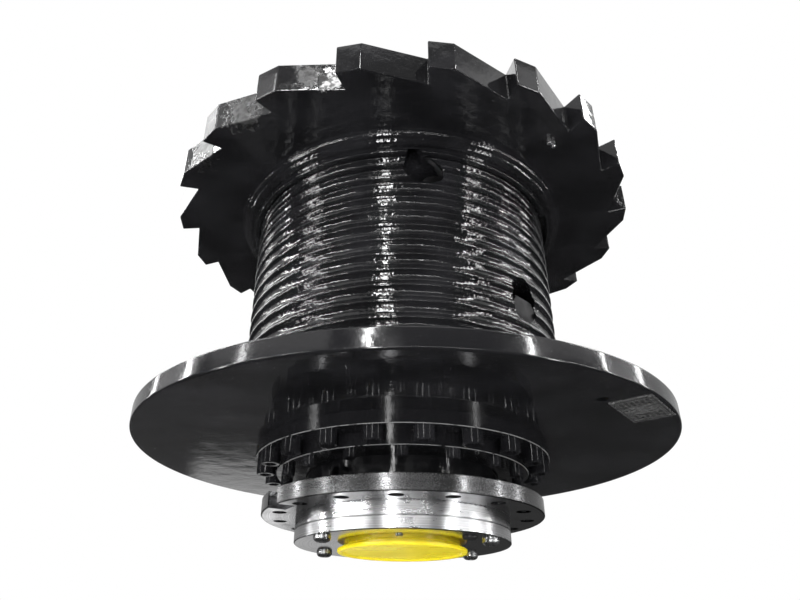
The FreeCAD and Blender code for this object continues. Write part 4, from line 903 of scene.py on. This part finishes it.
class REDUCER_OT_stage(PieceOperator, Operator):
    """Floor, world, lamps and the camera"""

    bl_idname = "reducer.stage"
    bl_label = "Studio"

    FLOOR_LEVEL = CAD_BOUNDS[0].z - 0.45
    FLOOR_RADIUS = 14
    LENS = 28.815
    SENSOR = 36
    CLIP_START = 0.05
    TILT = 0.48296
    ROLL = 0.012727
    PAN = -0.03962
    EYE = (-0.0012, -0.8705, -0.1497)
    SHIFT = (0.028355, 0.01735)
    AIM_HEIGHT = 0.25
    LAMP_LIFT = 0.03
    # azimuth, elevation, distance, width, height and power of each lamp
    LAMPS = {
        "strip_back_left": (-110, 24, 2.6, 0.05, 2.1, 9),
        "strip_far_left": (-87, 24, 2.6, 0.04, 2.1, 26),
        "strip_left": (-60, 26, 2.6, 0.04, 1.9, 13),
        "strip_front": (-11.5, 26, 2.6, 0.07, 2.0, 36),
        "strip_right": (47, 26, 2.6, 0.03, 2.0, 20),
        "strip_far_right": (79, 24, 2.6, 0.03, 2.1, 14),
        "strip_back_right": (99, 24, 2.6, 0.04, 2.1, 11),
        "bar_left": (-52, -5, 2.6, 1.8, 0.03, 24),
        "bar_front": (4, -5, 2.6, 2.2, 0.03, 9),
        "bar_right": (68, -5, 2.6, 2.0, 0.03, 15),
        "panel_back_left": (-132, 42, 2.8, 2.2, 1.5, 22),
        "panel_back_right": (140, 40, 2.8, 1.4, 1.0, 9),
        "panel_top": (10, 84, 2.6, 1.2, 1.2, 8),
    }
    # the same but for the elevation, of each lamp that lies on the floor and shines up
    FLOOR_LAMPS = {
        "floor_strip_left": (-66, 2.3, 0.06, 2.4, 16),
        "floor_strip_front": (-9, 2.3, 0.09, 2.4, 30),
        "floor_strip_right": (54, 2.3, 0.06, 2.4, 16),
    }
    # azimuth, half width, lowest and highest elevation, softness and level of each window of the room
    WINDOWS = (
        (-102, 9, -1, 22, 1.5, 0.8), (-62, 6, -1, 20, 1.5, 0.6), (-44, 2, -1, 20, 1.5, 0.4),
        (-10, 8, -1, 24, 1.5, 1.0), (52, 3, -1, 22, 1.5, 1.0), (72, 2, -1, 20, 1.5, 0.6),
        (98, 7, -1, 22, 1.5, 1.0), (-128, 34, 12, 58, 10, 0.5), (122, 34, 12, 58, 10, 0.5),
        (-166, 3, -13, -10, 2, 0.7), (-152, 16, -24, -12, 8, 0.06), (-172, 8, -10, -4, 1.5, 0.42),
        (-6, 44, -1, 9.5, 1.2, 0.75), (-55, 25, 24, 46, 4, 0.9), (95, 45, 24, 46, 4, 0.8),
    )
    ROOM_LEVEL = 0.04
    AMBIENT_LEVEL = 0.6
    # lowest and highest elevation of the ceiling's row of lamps, its level, and the ceiling's own level
    CEILING = (52, 72, 1.0, 0.2)
    # elevations between which the ceiling's own level begins
    CEILING_EDGE = (20, 34)

    def build(self, _sizes):
        self.floor()
        self.world()
        self.lamps()
        self.camera()

    def floor(self):
        """A pale floor that shows its colour and shadows, but isn't mirrored in the enamel."""
        bm = bmesh.new()
        bmesh.ops.create_circle(bm, cap_ends=True, segments=96, radius=self.FLOOR_RADIUS,
                                matrix=Matrix.Translation((0, 0, self.FLOOR_LEVEL)))
        floor = put("floor", bm)
        f = Finish("floor_paint")
        vector = f.place()[0]
        pale = tuple(bpy.context.scene.drum_colours.floor)
        tone = f.mix(f.grain(vector, 3, 3).step(0.3, 0.7), pale, shade(pale, 0.97))
        rough = f.grain(vector, 40, 3).step(0.3, 0.7, 0.7, 0.85)
        floor.data.materials.append(f.done(Base_Color=tone, Roughness=rough))
        floor.visible_glossy = False

    def world(self):
        """White for the camera, a dark room with windows for reflections, soft light for the rest."""
        world = bpy.data.worlds.new("studio")
        bpy.context.scene.world = world
        world.use_nodes = True
        w = Sheet(world.node_tree)
        camera, glossy, passing = [w.add("ShaderNodeLightPath", {}, {}, out) for out in (0, 3, 6)]
        white, room, soft = [w.add("ShaderNodeBackground", {}, {"Color": (1, 1, 1, 1), "Strength": s})
                             for s in (1, self.ROOM_LEVEL, self.AMBIENT_LEVEL)]
        mirrored = w.add("ShaderNodeMixShader", {}, {0: self.windows(w), 1: room, 2: white})
        sharp_ray = w.maths("MAXIMUM", glossy, passing)
        other = w.add("ShaderNodeMixShader", {}, {0: sharp_ray, 1: soft, 2: mirrored})
        seen = w.add("ShaderNodeMixShader", {}, {0: camera, 1: other, 2: white})
        w.surface("ShaderNodeOutputWorld", seen)

    def windows(self, w):
        """How much of the white background each direction shows."""
        x, y, z = w.split(w.add("ShaderNodeTexCoord", {}, {}, 0))
        azimuth = w.maths("ARCTAN2", x, 0 - y)
        lift = w.maths("ARCSINE", z)
        row_low, row_high, row_level, plain_level = self.CEILING
        row = self.between(lift, row_low, row_high, 2)
        glow = row * w.lines(azimuth, 2.2).step(0.46, 0.5) * row_level
        glow = glow + lift.step(*map(math.radians, self.CEILING_EDGE)) * plain_level
        for centre, half, low, high, softness, level in self.WINDOWS:
            off = w.maths("COSINE", azimuth - math.radians(centre))
            side = off.step(math.cos(math.radians(half + softness)), math.cos(math.radians(half)))
            glow = side * self.between(lift, low, high, softness) * level + glow
        return w.maths("MINIMUM", glow, 1)

    def between(self, lift, low, high, softness):
        """A mask of 1 between two elevations in degrees."""
        bottom = lift.step(math.radians(low - softness), math.radians(low))
        return bottom * lift.step(math.radians(high), math.radians(high + softness), 1, 0)

    def lamps(self):
        aim = Vector((0, 0, self.AIM_HEIGHT))
        for name, (azimuth, elevation, distance, width, height, power) in self.LAMPS.items():
            e = math.radians(elevation)
            spot = aim + point(distance * math.cos(e), math.radians(azimuth), distance * math.sin(e))
            turn = (aim - spot).to_track_quat("-Z", "Y").to_euler()
            self.lamp(name, spot, turn, width, height, power)
        level = self.FLOOR_LEVEL + self.LAMP_LIFT
        for name, (azimuth, distance, width, reach, power) in self.FLOOR_LAMPS.items():
            a = math.radians(azimuth)
            self.lamp(name, point(distance, a, level), (math.pi, 0, a), width, reach, power)

    def lamp(self, name, spot, turn, width, height, power):
        data = bpy.data.lights.new(name, "AREA")
        data.shape = "RECTANGLE"
        data.size = width
        data.size_y = height
        data.energy = power
        lamp = bpy.data.objects.new(name, data)
        lamp.location = spot
        lamp.rotation_euler = turn
        lamp.visible_camera = False
        bpy.context.scene.collection.objects.link(lamp)

    def camera(self):
        data = bpy.data.cameras.new("camera")
        data.lens = self.LENS
        data.sensor_width = self.SENSOR
        data.shift_x, data.shift_y = self.SHIFT
        data.clip_start = self.CLIP_START
        camera = bpy.data.objects.new("camera", data)
        ahead = Vector((math.sin(self.PAN) * math.cos(self.TILT), math.cos(self.PAN) * math.cos(self.TILT),
                        math.sin(self.TILT)))
        right = ahead.cross(UP).normalized()
        up = right.cross(ahead)
        across = right * math.cos(self.ROLL) + up * math.sin(self.ROLL)
        above = up * math.cos(self.ROLL) - right * math.sin(self.ROLL)
        turn = Matrix((across, above, -ahead)).transposed().to_4x4()
        camera.matrix_world = Matrix.Translation(self.EYE) @ turn
        bpy.context.scene.collection.objects.link(camera)
        bpy.context.scene.camera = camera
        bpy.context.scene.view_settings.view_transform = "Standard"


PIECES = (REDUCER_OT_cad_finishes, REDUCER_OT_disc, REDUCER_OT_barrel, REDUCER_OT_riser, REDUCER_OT_welds,
          REDUCER_OT_ratchet, REDUCER_OT_plugs, REDUCER_OT_stage)


class REDUCER_PT_panel(Panel):
    """Lists the pieces in the sidebar"""

    bl_idname = "REDUCER_PT_panel"
    bl_label = "Crane gear reducer"
    bl_space_type = "VIEW_3D"
    bl_region_type = "UI"
    bl_category = "Reducer"

    def draw(self, context):
        for piece in PIECES:
            self.layout.operator(piece.bl_idname)


CLASSES = (DrumSizes, DrumColours, *PIECES, REDUCER_PT_panel)


def register():
    for cls in CLASSES:
        bpy.utils.register_class(cls)
    bpy.types.Scene.drum_sizes = PointerProperty(type=DrumSizes)
    bpy.types.Scene.drum_colours = PointerProperty(type=DrumColours)


def unregister():
    del bpy.types.Scene.drum_colours
    del bpy.types.Scene.drum_sizes
    for cls in reversed(CLASSES):
        bpy.utils.unregister_class(cls)


def main():
    register()
    for piece in PIECES:
        group, name = piece.bl_idname.split(".")
        getattr(getattr(bpy.ops, group), name)()


if __name__ == "__main__":
    main()
